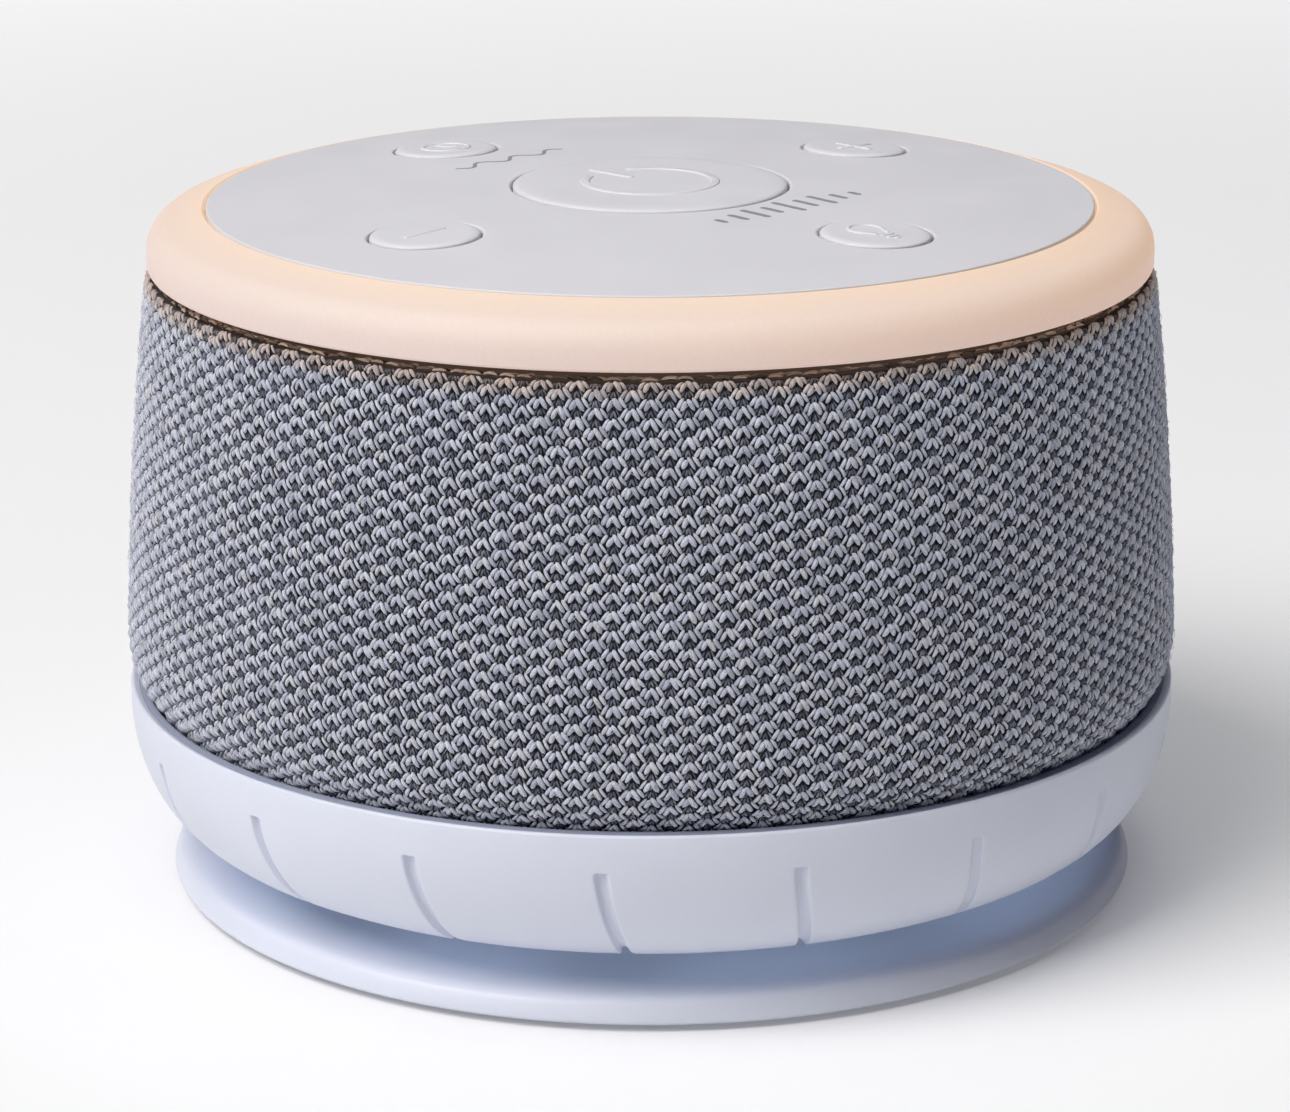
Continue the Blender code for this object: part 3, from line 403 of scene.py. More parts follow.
def metal(name, colour, roughness, stretch):
    """Machined or plated metal with fine turning marks."""
    made, tree, shader = new_look(name, Metallic=1.0)
    marks = object_noise(tree, 0.6, 2.0, stretch)
    shades = blend(tree, marks, tint(colour, 0.82), tint(colour, 1.06))
    tree.links.new(shades, shader.inputs["Base Color"])
    tree.links.new(spread(tree, marks, roughness - 0.08, roughness + 0.12), shader.inputs["Roughness"])
    relief(tree, shader, marks, 0.25, 0.01)
    return made


def solder_mask():
    """Green circuit board with a faint grid of copper tracks under the mask."""
    made, tree, shader = new_look("circuit_board_look")
    tracks = node(tree, "TexBrick", "Color", {
        "Vector": node(tree, "TexCoord", "Object"), "Scale": 260.0, "Mortar Size": 0.05,
        "Color1": (0.012, 0.10, 0.040, 1), "Color2": (0.018, 0.13, 0.055, 1),
        "Mortar": (0.05, 0.26, 0.11, 1)})
    tree.links.new(tracks, shader.inputs["Base Color"])
    tree.links.new(spread(tree, object_noise(tree, 1.2), 0.3, 0.45), shader.inputs["Roughness"])
    return made


def ring_glow():
    """Frosted diffuser, lit warm from inside: brightest along its inner edge, deeper at the foot."""
    made, tree, shader = new_look("ring_look", Roughness=0.62, Emission_Strength=1.0)
    cloud = spread(tree, object_noise(tree, 14.0, 2.0), -0.03, 0.03)
    level = node(tree, "Math", "Value", {0: level_between(tree, RING_BOTTOM, RING_TOP), 1: cloud},
                 operation="ADD")
    tree.links.new(ramp(tree, level, RING_COLOURS), shader.inputs["Emission Color"])
    speck = blend(tree, object_noise(tree, 0.5, 2.0), tint(RING_BASE, 0.97), tint(RING_BASE, 1.03))
    tree.links.new(speck, shader.inputs["Base Color"])
    relief(tree, shader, object_noise(tree, 0.35, 2.0), 0.2, 0.003)
    return made


def yarn(name, colours, fuzz, **values):
    """Yarn: fibres along each strand, its own shade per strand, and painted light over the sleeve's top 3
    mm under the light ring: a painted warm glow of the ring and painted shade under it.
    """
    made, tree, shader = new_look(name, Roughness=0.92, **values)
    fibre = node(tree, "Attribute", "Vector", attribute_name="fibre")
    shade = node(tree, "Attribute", "Fac", attribute_name="shade")
    ply = node(tree, "TexNoise", "Fac", {"Vector": fibre, "Scale": 1.0, "Detail": 3.0, "Roughness": 0.6})
    own = ramp(tree, shade, [(n / (len(colours) - 1), c) for n, c in enumerate(colours)])
    streak = ramp(tree, ply, [(0.3, (1 - fuzz,) * 3), (0.65, (1.0,) * 3)])
    # painted light: the yarn's colour is tinted warm and a little darker over the top 3 mm, for the ring's
    # glow and the shade under it
    cast = ramp(tree, level_between(tree, SLEEVE_TOP - 3.0, SLEEVE_TOP), PAINTED_RING_GLOW_AND_SHADE)
    tree.links.new(multiplied(tree, multiplied(tree, own, streak), cast), shader.inputs["Base Color"])
    relief(tree, shader, ply, 0.6, 0.05)
    return made


RING_BASE = (0.31, 0.355, 0.41)
RING_COLOURS = [(0.0, (0.45, 0.27, 0.175)), (0.4, (0.50, 0.30, 0.175)), (0.8, (0.535, 0.32, 0.16)),
                (1.0, (0.60, 0.35, 0.15))]  # from the ring's foot up to its inner edge
PAINTED_RING_GLOW_AND_SHADE = [(0.0, (1.0, 1.0, 1.0)), (0.45, (1.0, 0.84, 0.70)), (0.8, (0.90, 0.72, 0.58)),
             (1.0, (0.84, 0.69, 0.57))]  # painted warm glow of the light ring and painted shade under it, over the sleeve's top 3 mm
LIGHT_SHADES = [(0.45, 0.485, 0.59), (0.61, 0.645, 0.78), (0.73, 0.765, 0.89), (0.69, 0.70, 0.75)]
DARK_SHADES = [(0.11, 0.12, 0.155), (0.19, 0.20, 0.26), (0.33, 0.35, 0.42)]
GROUND_SHADES = [(0.065, 0.072, 0.095), (0.080, 0.088, 0.117)]
RIM_SHADES = [(0.06, 0.055, 0.06), (0.30, 0.29, 0.30), (0.66, 0.66, 0.68), (0.80, 0.80, 0.82)]

shell = moulded("shell_look", (0.70, 0.73, 0.83), 0.42)
# A brighter, bluer colour than the shell's and a weak bluish glow stand in for light that the surroundings
# throw into the gap over the base plate: painted light.
gap_glow_shell = moulded("shell_inside_look", (0.80, 0.86, 0.97), 0.5, Emission_Color=(0.60, 0.72, 0.90, 1),
                       Emission_Strength=0.28)
# Painted shade: a darker blue-grey for the lip's inner top, where the overhanging knit shades it.
painted_lip_shade_look = moulded("painted_lip_shade_look", (0.30, 0.33, 0.43), 0.6)
panel = moulded("panel_look", (0.715, 0.71, 0.74), 0.50)
rubber = moulded("rubber_look", (0.045, 0.045, 0.047), 0.8, grain=0.5, depth=0.02)
print_ink = moulded("print_look", (0.30, 0.30, 0.315), 0.55)
ring_look = ring_glow()
light_yarn = yarn("light_yarn_look", LIGHT_SHADES, 0.55, Sheen_Weight=0.45, Sheen_Roughness=0.5,
                  Sheen_Tint=(1.0, 0.96, 0.88, 1))
dark_yarn = yarn("dark_yarn_look", DARK_SHADES, 0.6)
ground_look = yarn("ground_look", GROUND_SHADES, 0.6)
rim_yarn = yarn("rim_yarn_look", RIM_SHADES, 0.45)
LOOKS = {"shell_plastic": shell, "panel_plastic": panel, "rubber": rubber, "diffuser": ring_look,
         "knit": dark_yarn, "circuit_board": solder_mask(),
         "black_plastic": moulded("black_plastic_look", (0.030, 0.030, 0.034), 0.5),
         "grey_plastic": moulded("grey_plastic_look", (0.28, 0.29, 0.31), 0.5),
         "cable": moulded("cable_look", (0.02, 0.02, 0.022), 0.55),
         "steel": metal("steel_look", (0.62, 0.62, 0.64), 0.32, (1, 1, 8)),
         "bronze": metal("bronze_look", (0.60, 0.42, 0.22), 0.38, (1, 1, 8)),
         "copper": metal("copper_look", (0.75, 0.36, 0.20), 0.34, (0.4, 0.4, 10))}


def paint_cad_nodes():
    """Gives each CAD node its look, told from the name of the material it came with."""
    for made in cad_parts.values():
        for holder in made.material_slots:
            name = holder.material.name.split(".")[0]
            holder.material = LOOKS[name]
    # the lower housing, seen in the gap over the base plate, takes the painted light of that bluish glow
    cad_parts["lower_housing"].material_slots[0].material = gap_glow_shell


# ---- base plate and foot

def make_base():
    """The plate with its rolled rim, plug recess and cable channel, and the rubber ring under it."""
    floor = PLATE_BOTTOM + SEAT_DEPTH
    outline = [(0, PLATE_BOTTOM), (SEAT_INNER, PLATE_BOTTOM), (SEAT_INNER, floor), (SEAT_OUTER, floor),
               (SEAT_OUTER, PLATE_BOTTOM), *smooth_curve(PLATE_RIM, 5),
               (PLATE_CREST, PLATE_TOP + CREST_RISE), (0, PLATE_TOP)]
    plate = piece("base_plate_shell", lathe(outline), shell, "housing", ["base_plate"])
    cut(plate, [box_shape(*JACK_BOX)], "UNION")
    seats = [drum_shape(SCREW_SEAT, 0, SEAT_TOP, polar(SCREW_CIRCLE, a)) for a in SCREW_ANGLES]
    holes = [drum_shape(SCREW_HOLE, 1, 5, polar(SCREW_CIRCLE, a)) for a in SCREW_ANGLES]
    lying = Matrix.Translation((0, 0, JACK_HEIGHT)) @ Matrix.Rotation(-pi / 2, 4, "X")
    window = moved(drum_shape(JACK_WINDOW, 10, 15), lying)
    cut(plate, [box_shape(*JACK_RECESS), box_shape(*CABLE_CHANNEL), window] + seats + holes)
    plate.data.materials.clear()
    plate.data.materials.append(shell)

    outline = rounded([(FOOT_INNER, FOOT_BOTTOM, FOOT_ROUNDING), (FOOT_RADIUS, FOOT_BOTTOM, FOOT_ROUNDING),
                       (FOOT_RADIUS, FOOT_TOP, 0), (FOOT_INNER, FOOT_TOP, 0)])
    gap = degrees(asin(FOOT_GAP / FOOT_MIDDLE))
    ring = turn(outline, list(np.linspace(90 + gap, 450 - gap, SEGMENTS)), closed=False)
    piece("foot_ring_rubber", ring, rubber, "housing", ["rubber_foot_ring"])


# ---- tone collar

def collar_rows():
    """The collar's section as (radius, height, groove share, how far its normal tilts down)."""
    centre = COLLAR_RADIUS - CURVE_WIDTH
    lowest = asin((STRAIGHT_FROM - COLLAR_BOTTOM) / CURVE_HEIGHT)
    low, high = GROOVE_TOP - 0.7, GROOVE_TOP + 0.1  # rows lie close together where a groove ends
    rows = []
    for z in (*np.linspace(COLLAR_BOTTOM, low, 15)[:-1], *np.linspace(low, high, 9), 23.4, 24.2,
              STRAIGHT_FROM):
        angle = min(lowest, asin((STRAIGHT_FROM - z) / CURVE_HEIGHT))
        share = np.clip((GROOVE_TOP - z) / GROOVE_END, 0, 1)
        rows.append((centre + CURVE_WIDTH * cos(angle), z, share * share * (3 - 2 * share),
                     atan2(sin(angle) * CURVE_WIDTH, cos(angle) * CURVE_HEIGHT)))
    inner = COLLAR_RADIUS - COLLAR_WALL
    upper = rounded([(COLLAR_RADIUS, STRAIGHT_FROM + 0.4, 0), (COLLAR_RADIUS, COLLAR_TOP, 0.75),
                     (COLLAR_RADIUS - 1.15, COLLAR_TOP - 0.55, 0.2), (inner - 0.05, COLLAR_TOP - 0.2, 0.3),
                     (inner - 0.35, COLLAR_TOP - 0.9, 0.3), (inner, STRAIGHT_FROM, 0)], 6)
    for angle in np.radians([12, 24, 36, 46, 54]):
        upper.append((centre + (CURVE_WIDTH - COLLAR_WALL) * cos(angle),
                      STRAIGHT_FROM - (CURVE_HEIGHT - COLLAR_WALL) * sin(angle)))
    upper += [(r, FLANGE_TOP) for r in (BOWL_OVER, PORT_OUTER, PORT_INNER, FLANGE_INNER)]
    upper += [(r, FLANGE_BOTTOM) for r in (FLANGE_INNER, PORT_INNER, PORT_OUTER, BOWL_UNDER)]
    return rows + [(r, z, 0.0, 0.0) for r, z in upper] + [(BOWL_FOOT, COLLAR_BOTTOM, 1.0, pi / 2)]


def collar_columns():
    """Angles in degrees, close together at each groove, with the share of the groove's depth at each."""
    pitch = 360.0 / GROOVES
    clear, between = 2.5, 11  # degrees kept free either side of a groove, and columns between two
    columns = {}
    for n in range(GROOVES):
        for offset, share in GROOVE_SECTION:
            columns[round((n * pitch + degrees(offset / COLLAR_RADIUS)) % 360, 5)] = share
        for step in np.linspace(clear, pitch - clear, between):
            columns.setdefault(round(n * pitch + float(step), 5), 0.0)
    for n in range(PORTS):
        for end in (0.0, PORT_WIDTH):
            columns.setdefault(round(PORT_PITCH * n + PORT_START + end, 5), 0.0)
    return sorted(columns.items())


def make_collar():
    """The tone collar: a bowl with rounded grip grooves, a soft lip and a ported flange."""
    rows, columns = collar_rows(), collar_columns()
    last = len(rows) - 1
    outside = sum(1 for row in rows[:last] if row[3])
    points = []
    for angle, share in columns:
        for i, (r, z, cut_share, tilt) in enumerate(rows):
            depth = GROOVE_DEPTH * share * cut_share
            is_cut = i < outside or i == last
            down = max(0.0, (GROOVE_TOP - z) / (GROOVE_TOP - COLLAR_BOTTOM)) if is_cut else 0.0
            place = polar(r - depth * cos(tilt), angle + GROOVE_SLANT * down ** 1.5)
            points.append((*place, z + depth * sin(tilt)))
    height, count = len(rows), len(columns)

    def at(column, row):
        return column * height + row % height

    flange = {row[:2]: i for i, row in enumerate(rows) if row[0] in (PORT_OUTER, PORT_INNER)}
    top_out, top_in = flange[PORT_OUTER, FLANGE_TOP], flange[PORT_INNER, FLANGE_TOP]
    low_in, low_out = flange[PORT_INNER, FLANGE_BOTTOM], flange[PORT_OUTER, FLANGE_BOTTOM]
    faces = []
    for j, (angle, _) in enumerate(columns):
        k = (j + 1) % count
        following = columns[k][0]
        middle = (angle + ((following - angle) % 360) / 2) % 360
        is_port = PORT_START < middle % PORT_PITCH < PORT_START + PORT_WIDTH
        for i in range(height):
            if not (is_port and i in (top_out, low_in)):
                faces.append((at(j, i), at(k, i), at(k, i + 1), at(j, i + 1)))
        if is_port:
            faces.append((at(j, top_out), at(k, top_out), at(k, low_out), at(j, low_out)))
            faces.append((at(k, top_in), at(j, top_in), at(j, low_in), at(k, low_in)))
            if abs(angle % PORT_PITCH - PORT_START) < 1e-3:
                faces.append((at(j, top_in), at(j, top_out), at(j, low_out), at(j, low_in)))
            if abs(following % PORT_PITCH - PORT_START - PORT_WIDTH) < 1e-3:
                faces.append((at(k, top_out), at(k, top_in), at(k, low_in), at(k, low_out)))
    made = piece("tone_collar_shell", (points, faces), shell, "tone_collar",
                 ["tone_collar"], sharp=50)
    made.data.materials.append(gap_glow_shell)
    made.data.materials.append(painted_lip_shade_look)
    for face in made.data.polygons:
        reach = hypot(*face.center[:2]) / MM
        # faces under the flange, in the gap over the base plate, take the painted light of the bluish glow
        if face.center.z < (FLANGE_BOTTOM + 0.1) * MM and reach < INSIDE_REACH:
            face.material_index = 1
        # faces on the lip's top further in than LIP_WIDTH get the painted shade of the knit's overhang
        elif face.center.z > STRAIGHT_FROM * MM and reach < COLLAR_RADIUS - LIP_WIDTH:
            face.material_index = 2


# ---- light ring

def make_ring():
    """The glowing ring: a sloping top, a rounded shoulder and an upright foot."""
    centre_r = RING_RADIUS - RING_SHOULDER
    centre_z = RING_TOP - (RING_SHOULDER + sin(RING_SLOPE) * (centre_r - RING_INNER)) / cos(RING_SLOPE)
    turns = np.linspace(pi / 2, RING_SLOPE, 15)
    outer = [(centre_r + RING_SHOULDER * sin(a), centre_z + RING_SHOULDER * cos(a)) for a in turns]
    inside = RING_SHOULDER - RING_WALL
    inner = [(centre_r + inside * sin(a), centre_z + inside * cos(a)) for a in turns[::-2]]
    foot = rounded([(RING_FOOT, RING_BOTTOM, 0.2), (RING_RADIUS, RING_BOTTOM, 0.45),
                    (RING_RADIUS, centre_z, 0), (RING_FOOT, centre_z, 0)])[:-2]
    edge = [(RING_INNER + 0.25, RING_TOP - 0.08), (RING_INNER, RING_TOP - 0.3),
            (RING_INNER, RING_TOP - RING_WALL / cos(RING_SLOPE))]
    outline = foot + outer + edge + inner + [(RING_RADIUS - RING_WALL, RING_BOTTOM + RING_WALL),
                                             (RING_FOOT, RING_BOTTOM + RING_WALL)]
    piece("light_ring_diffuser", lathe(outline), ring_look, "housing", ["light_ring"])


# ---- panel

def dome(x, y):
    """Height of the panel's top at a point of its plan."""
    return RING_TOP + PANEL_RISE * (1 - (hypot(x, y) / RING_INNER) ** 2)


def panel_holes():
    """Centre, radius and point count of the five button holes."""
    small = [(polar(SMALL_CIRCLE, a), SMALL_RADIUS + BUTTON_GAP, 72) for a in SMALL_BUTTONS.values()]
    return [((0.0, 0.0), POWER_RADIUS + BUTTON_GAP, 128)] + small


def edge_gap(x, y, loop):
    """How far a point of the panel's plan lies from the edge of a hole, or from the panel's own."""
    centre, radius, _, side, _ = loop
    return side * (hypot(x - centre[0], y - centre[1]) - radius)


def make_panel():
    """The domed panel: one sheet of triangles with softly rounded holes, its walls and its underside."""
    loops = [((0.0, 0.0), PANEL_RADIUS, SEGMENTS, -1, EDGE_ROUNDING)]
    loops += [(*hole, 1, HOLE_ROUNDING) for hole in panel_holes()]
    plan, rims = [], []
    for centre, radius, count, side, (width, _) in loops:
        rims.append(range(len(plan), len(plan) + count))
        plan += circle(centre, radius + side * width, count)
        plan += circle(centre, radius + side * (width + GUARD), count)
    free = HOLE_ROUNDING[0] + 4 * GUARD
    for n in range(1, int(PANEL_RADIUS / PANEL_MESH)):
        plan += [(x, y) for x, y in circle((0, 0), n * PANEL_MESH, max(8, int(2 * pi * n)))
                 if all(edge_gap(x, y, loop) > free for loop in loops)]
    _, _, cells, origins, _, _ = delaunay_2d_cdt([Vector(p) for p in plan], [], [], 0, 1e-6)
    order = [origin[0] for origin in origins]
    flat = []
    for cell in cells:
        corners = [order[i] for i in cell]
        x, y = np.mean([plan[i] for i in corners], axis=0)
        if all(edge_gap(x, y, loop) > 0.98 * loop[-1][0] for loop in loops):
            flat.append(corners)
    points = [(x, y, dome(x, y)) for x, y in plan]
    under = len(points)
    points += [(x, y, dome(x, y) - PANEL_THICKNESS) for x, y in plan]
    faces = flat + [[under + i for i in reversed(face)] for face in flat]
    for (centre, radius, count, side, (width, drop)), rim in zip(loops, rims):
        rows = [list(rim)]
        for angle in np.radians([15, 30, 45, 60, 75, 90]):
            rows.append(range(len(points), len(points) + count))
            points += [(x, y, dome(x, y) - drop * (1 - cos(angle)))
                       for x, y in circle(centre, radius + side * width * (1 - sin(angle)), count)]
        rows.append([under + i for i in rim])
        for i, (x, y) in zip(rows[-1], circle(centre, radius, count)):
            points[i] = (x, y, dome(x, y) - PANEL_THICKNESS)
        for a, b in zip(rows, rows[1:]):
            for i in range(count):
                k = (i + 1) % count
                faces.append((a[i], b[i], b[k], a[k]) if side < 0 else (a[k], b[k], b[i], a[i]))
    top = RING_TOP - SKIRT_DROP
    skirt = lathe([(SKIRT_INNER, PANEL_BOTTOM), (SKIRT_OUTER, PANEL_BOTTOM), (SKIRT_OUTER, top),
                   (SKIRT_INNER, top)], 96)
    piece("top_panel_shell", joined((points, faces), skirt), panel, "housing",
          ["top_panel"], sharp=50)


# ---- buttons

def stroke(path, width):
    """The closed outline of a line of some width along a path, with round ends."""
    cap = 8  # sides of a round end
    spots = [Vector(p) for p in path]
    left, right = [], []
    for i, spot in enumerate(spots):
        along = (spots[min(i + 1, len(spots) - 1)] - spots[max(i - 1, 0)]).normalized()
        side = Vector((-along.y, along.x)) * width / 2
        left.append(spot + side)
        right.append(spot - side)

    def end(centre, start):
        arm = start - centre
        return [centre + Matrix.Rotation(-pi * n / cap, 2) @ arm for n in range(1, cap)]

    outline = left + end(spots[-1], left[-1]) + right[::-1] + end(spots[0], right[0])
    return outline[::-1]


def raised(outline, height, lift=lambda x, y: 0.0, bevel=0.2):
    """A low raised form with bevelled edges on an anticlockwise outline, sunk a little into its base."""
    count = len(outline)
    inward = []
    for i, spot in enumerate(outline):
        ahead, back = outline[(i + 1) % count] - spot, spot - outline[i - 1]
        along = (ahead.normalized() + back.normalized()).normalized()
        inward.append(Vector((-along.y, along.x)))
    levels = [(-0.25, -0.05), (0.0, 0.0), (0.4 * height, 0.2 * bevel), (0.8 * height, 0.55 * bevel),
              (height, bevel)]
    points, faces = [], []
    for z, inset in levels:
        for spot, side in zip(outline, inward):
            x, y = spot + side * inset
            points.append((x, y, z + lift(x, y)))
    top = len(points) - count
    for base in range(0, top, count):
        for i in range(count):
            k = (i + 1) % count
            faces.append((base + i, base + k, base + count + k, base + count + i))
    faces += [range(top, len(points)), range(count)[::-1]]
    return points, faces


def plus_outline(reach, half):
    """The twelve-cornered outline of a plus sign."""
    quarter = [Vector((reach, -half)), Vector((reach, half)), Vector((half, half))]
    return [Matrix.Rotation(pi / 2 * n, 2) @ p for n in range(4) for p in quarter]


def icons():
    """Raised outlines on each button's cap, with +Y as their top."""
    power_line, minus_line, clock_line, bulb_line, fine_line = 1.3, 0.85, 0.62, 0.6, 0.55
    power_gap, bulb_gap = 27.0, 42.0  # half of the opening in each circle, in degrees
    ring = arc((0, 0), 8.5, 90 + power_gap, 450 - power_gap, 64)
    bulb = [(-1.05, -1.0), *arc((0, 1.7), 2.2, 270 - bulb_gap, -90 + bulb_gap, 28), (1.05, -1.0)]
    threads = [[(-w, y), (w, y)] for w, y in ((0.95, -2.0), (0.85, -2.95), (0.35, -3.8))]
    halves = [arc((0, 0), 3.2, 90 - n, 90 - n + 178, 24) for n in (0, 180)]
    hands = [(0, 1.9), (0, 0), (1.3, -0.75)]
    return {
        "power": [stroke(ring, power_line), stroke([(0, 3.9), (0, 10.6)], power_line)],
        "minus": [stroke([(-3.1, 0), (3.1, 0)], minus_line)],
        "plus": [plus_outline(3.1, 0.42)],
        "night_light": [stroke(bulb, bulb_line)] + [stroke(thread, fine_line) for thread in threads],
        "timer": [stroke(half, clock_line) for half in halves] + [stroke(hands, fine_line)],
    }


def cap_shape(radius, flange, stem, top, segments, bow):
    """A button with its top, that far above the unit's base, at height 0: cap, flange and stem."""
    width, drop = CAP_ROUNDING
    under = -PANEL_THICKNESS - BUTTON_REST
    inner = radius - BUTTON_WALL
    outline = [(0, STEM_END - top), (stem, STEM_END - top), (stem, -BUTTON_ROOF), (inner, -BUTTON_ROOF),
               (inner, under - BUTTON_FLANGE), (radius + flange, under - BUTTON_FLANGE),
               (radius + flange, under), (radius, under)]
    edge = bow * (radius / RING_INNER) ** 2
    for angle in np.radians([90, 75, 60, 45, 30, 15, 0]):
        outline.append((radius - width * (1 - sin(angle)), -drop * (1 - cos(angle)) - edge))
    for share in (0.985, 0.9, 0.7, 0.45, 0.2, 0):
        r = (radius - width) * share
        outline.append((r, -bow * (r / RING_INNER) ** 2))
    return lathe(outline, segments)


def make_buttons():
    """The power button in the middle and four small ones that lean with the dome."""
    forms = icons()
    lean = 2 * PANEL_RISE * SMALL_CIRCLE / RING_INNER ** 2
    top = dome(0, 0) + BUTTON_PROUD

    def follow(x, y):
        return -PANEL_RISE * (x * x + y * y) / RING_INNER ** 2

    power = [cap_shape(POWER_RADIUS, POWER_FLANGE, POWER_STEM, top, 144, PANEL_RISE)]
    power += [raised(form, ICON_HEIGHT, follow) for form in forms["power"]]
    piece("power_button_cap", moved(joined(*power), Matrix.Translation((0, 0, top))), panel, "power_button",
          ["power_button"])
    top = dome(SMALL_CIRCLE, 0) + BUTTON_PROUD
    for name, angle in SMALL_BUTTONS.items():
        facing = Matrix.Rotation(radians(angle - 90), 4, "Z")
        shapes = [cap_shape(SMALL_RADIUS, SMALL_FLANGE, SMALL_STEM, top, 96, 0.0)]
        shapes += [moved(raised(form, ICON_HEIGHT), facing.inverted()) for form in forms[name]]
        place = Matrix.Translation((*polar(SMALL_CIRCLE, angle), top)) @ facing
        place = place @ Matrix.Rotation(-lean, 4, "X")
        piece(f"{name}_button_cap", moved(joined(*shapes), place), panel, f"{name}_button",
              [f"{name}_button"])


def make_print():
    """Plain printed marks on the panel: a row of level bars in front and a small wave behind."""
    lines = []
    for n, height in enumerate(BARS):
        x = BAR_X + BAR_PITCH * (n - len(BARS) // 2)
        lines.append(stroke([(x, BAR_Y - height / 2), (x, BAR_Y + height / 2)], 1.0))
    wave = [(x, WAVE_Y + WAVE_HEIGHT * sin(2 * pi * x / WAVE_LENGTH))
            for x in np.linspace(-WAVE_END, WAVE_END, 61)]
    lines.append(stroke(wave, 0.55))
    shapes = [raised(line, PRINT_HEIGHT, dome, 0.008) for line in lines]
    piece("panel_print", joined(*shapes), print_ink, "housing")


# ---- knitted sleeve

def sleeve_radius(height):
    """Outer radius of the sleeve above its widest line."""
    t = (height - WIDEST) / (RING_BOTTOM - WIDEST)
    return SLEEVE_RADIUS - SLEEVE_LEAN * t - SLEEVE_BOW * t * t


def sleeve_line():
    """The sleeve's outer line from its tucked foot to its rolled top: lengths, radii, heights, normals."""
    side = [(sleeve_radius(z), z) for z in np.linspace(34.5, SLEEVE_TOP - 2.2, 24)]
    rim = sleeve_radius(SLEEVE_TOP)
    roll = [(rim + 0.02, SLEEVE_TOP - 1.25), (rim - 0.38, SLEEVE_TOP - 0.48), (rim - 1.1, SLEEVE_TOP - 0.1),
            (rim - 2.1, SLEEVE_TOP - 0.15), (rim - 3.0, SLEEVE_TOP - 0.5)]
    line = np.array(smooth_curve(SLEEVE_FOOT + side + roll, 6))
    steps = np.hypot(*np.diff(line, axis=0).T)
    lengths = np.concatenate([[0.0], np.cumsum(steps)])
    along = np.gradient(line, lengths, axis=0)
    along /= np.linalg.norm(along, axis=1)[:, None]
    return lengths, line[:, 0], line[:, 1], along[:, 1], -along[:, 0]


SLEEVE_LINE = sleeve_line()
SLEEVE_LENGTH = SLEEVE_LINE[0][-1]
ROWS = int(SLEEVE_LENGTH / COURSE)


def on_sleeve(wale, u, s, h):
    """Points in mm from wale numbers, offsets u along the course, lengths s up the line and heights h."""
    lengths, radii, heights, out, up = SLEEVE_LINE
    r, z, nr, nz = (np.interp(s, lengths, values) for values in (radii, heights, out, up))
    angle = (wale + u / WALE) * 2 * pi / WALES
    reach = r + (h - PILE) * nr
    return np.stack([reach * np.cos(angle), reach * np.sin(angle), z + (h - PILE) * nz], axis=-1)


def strand_points(path, width, thickness, wales, starts, rng, sides, rings, stray):
    """Tapered strands, one for each wale and start: points, a shade and fibre places for the yarn material.

    path holds three (u, v, h) control points of a smooth curve, which each strand strays from a little.
    """
    many = len(wales)
    control = np.repeat(np.array(path, float)[None], many, axis=0)
    control += rng.normal(0, stray, control.shape) * np.array(JITTER)
    degree = control.shape[1] - 1
    t = np.linspace(0, 1, rings + 2)
    basis = np.stack([comb(degree, k) * t ** k * (1 - t) ** (degree - k) for k in range(degree + 1)])
    slope = np.gradient(basis, t, axis=1)
    spine = np.einsum("mkc,kt->mtc", control, basis)
    along = np.einsum("mkc,kt->mtc", control, slope)
    side = np.stack([along[..., 1], -along[..., 0], np.zeros(along.shape[:2])], axis=-1)
    side /= np.linalg.norm(side, axis=-1)[..., None]
    lift = np.cross(side, along)
    lift /= np.linalg.norm(lift, axis=-1)[..., None]
    grow = (np.sin(pi * t) ** TAPER)[None, :, None, None] * rng.normal(1, 0.1, many)[:, None, None, None]
    turns = np.linspace(0, 2 * pi, sides, endpoint=False)
    ring_side = np.cos(turns)[None, None, :, None] * side[:, :, None] * width / 2
    ring_lift = np.sin(turns)[None, None, :, None] * lift[:, :, None] * thickness / 2
    local = spine[:, :, None] + (ring_side + ring_lift) * grow
    middle = local[:, 1:-1].reshape(many, rings * sides, 3)
    local = np.concatenate([spine[:, :1], middle, spine[:, -1:]], axis=1)
    placed = on_sleeve(wales[:, None], local[..., 0], starts[:, None] + local[..., 1], local[..., 2])
    shade = np.repeat(rng.random(many)[:, None], local.shape[1], axis=1)
    twist = turns[None, :] + TWIST * t[1:-1, None]
    fibre = np.zeros((local.shape[1], 3))
    run = np.broadcast_to(FIBRE_RUN * t[1:-1, None], twist.shape)
    fibre[1:-1] = np.stack([FIBRES * np.cos(twist), FIBRES * np.sin(twist), run], axis=-1).reshape(-1, 3)
    fibre[-1, 2] = FIBRE_RUN
    fibre = fibre[None] + rng.random((many, 1, 3)) * 40  # so that no two strands look alike
    return placed, shade, fibre


def strand_faces(many, sides, rings):
    """Faces of many strands: a fan at each tip and quads between the rings."""
    ring = 1 + np.arange(rings * sides).reshape(rings, sides)
    after = np.roll(ring, -1, axis=1)
    last = rings * sides + 1
    tips = [np.stack([np.zeros(sides, int), after[0], ring[0]], axis=-1),
            np.stack([np.full(sides, last), ring[-1], after[-1]], axis=-1)]
    quads = np.stack([ring[:-1], after[:-1], after[1:], ring[1:]], axis=-1).reshape(-1, 4)
    shift = np.arange(many)[:, None, None] * (last + 1)
    return (np.concatenate(tips)[None] + shift).reshape(-1, 3), (quads[None] + shift).reshape(-1, 4)


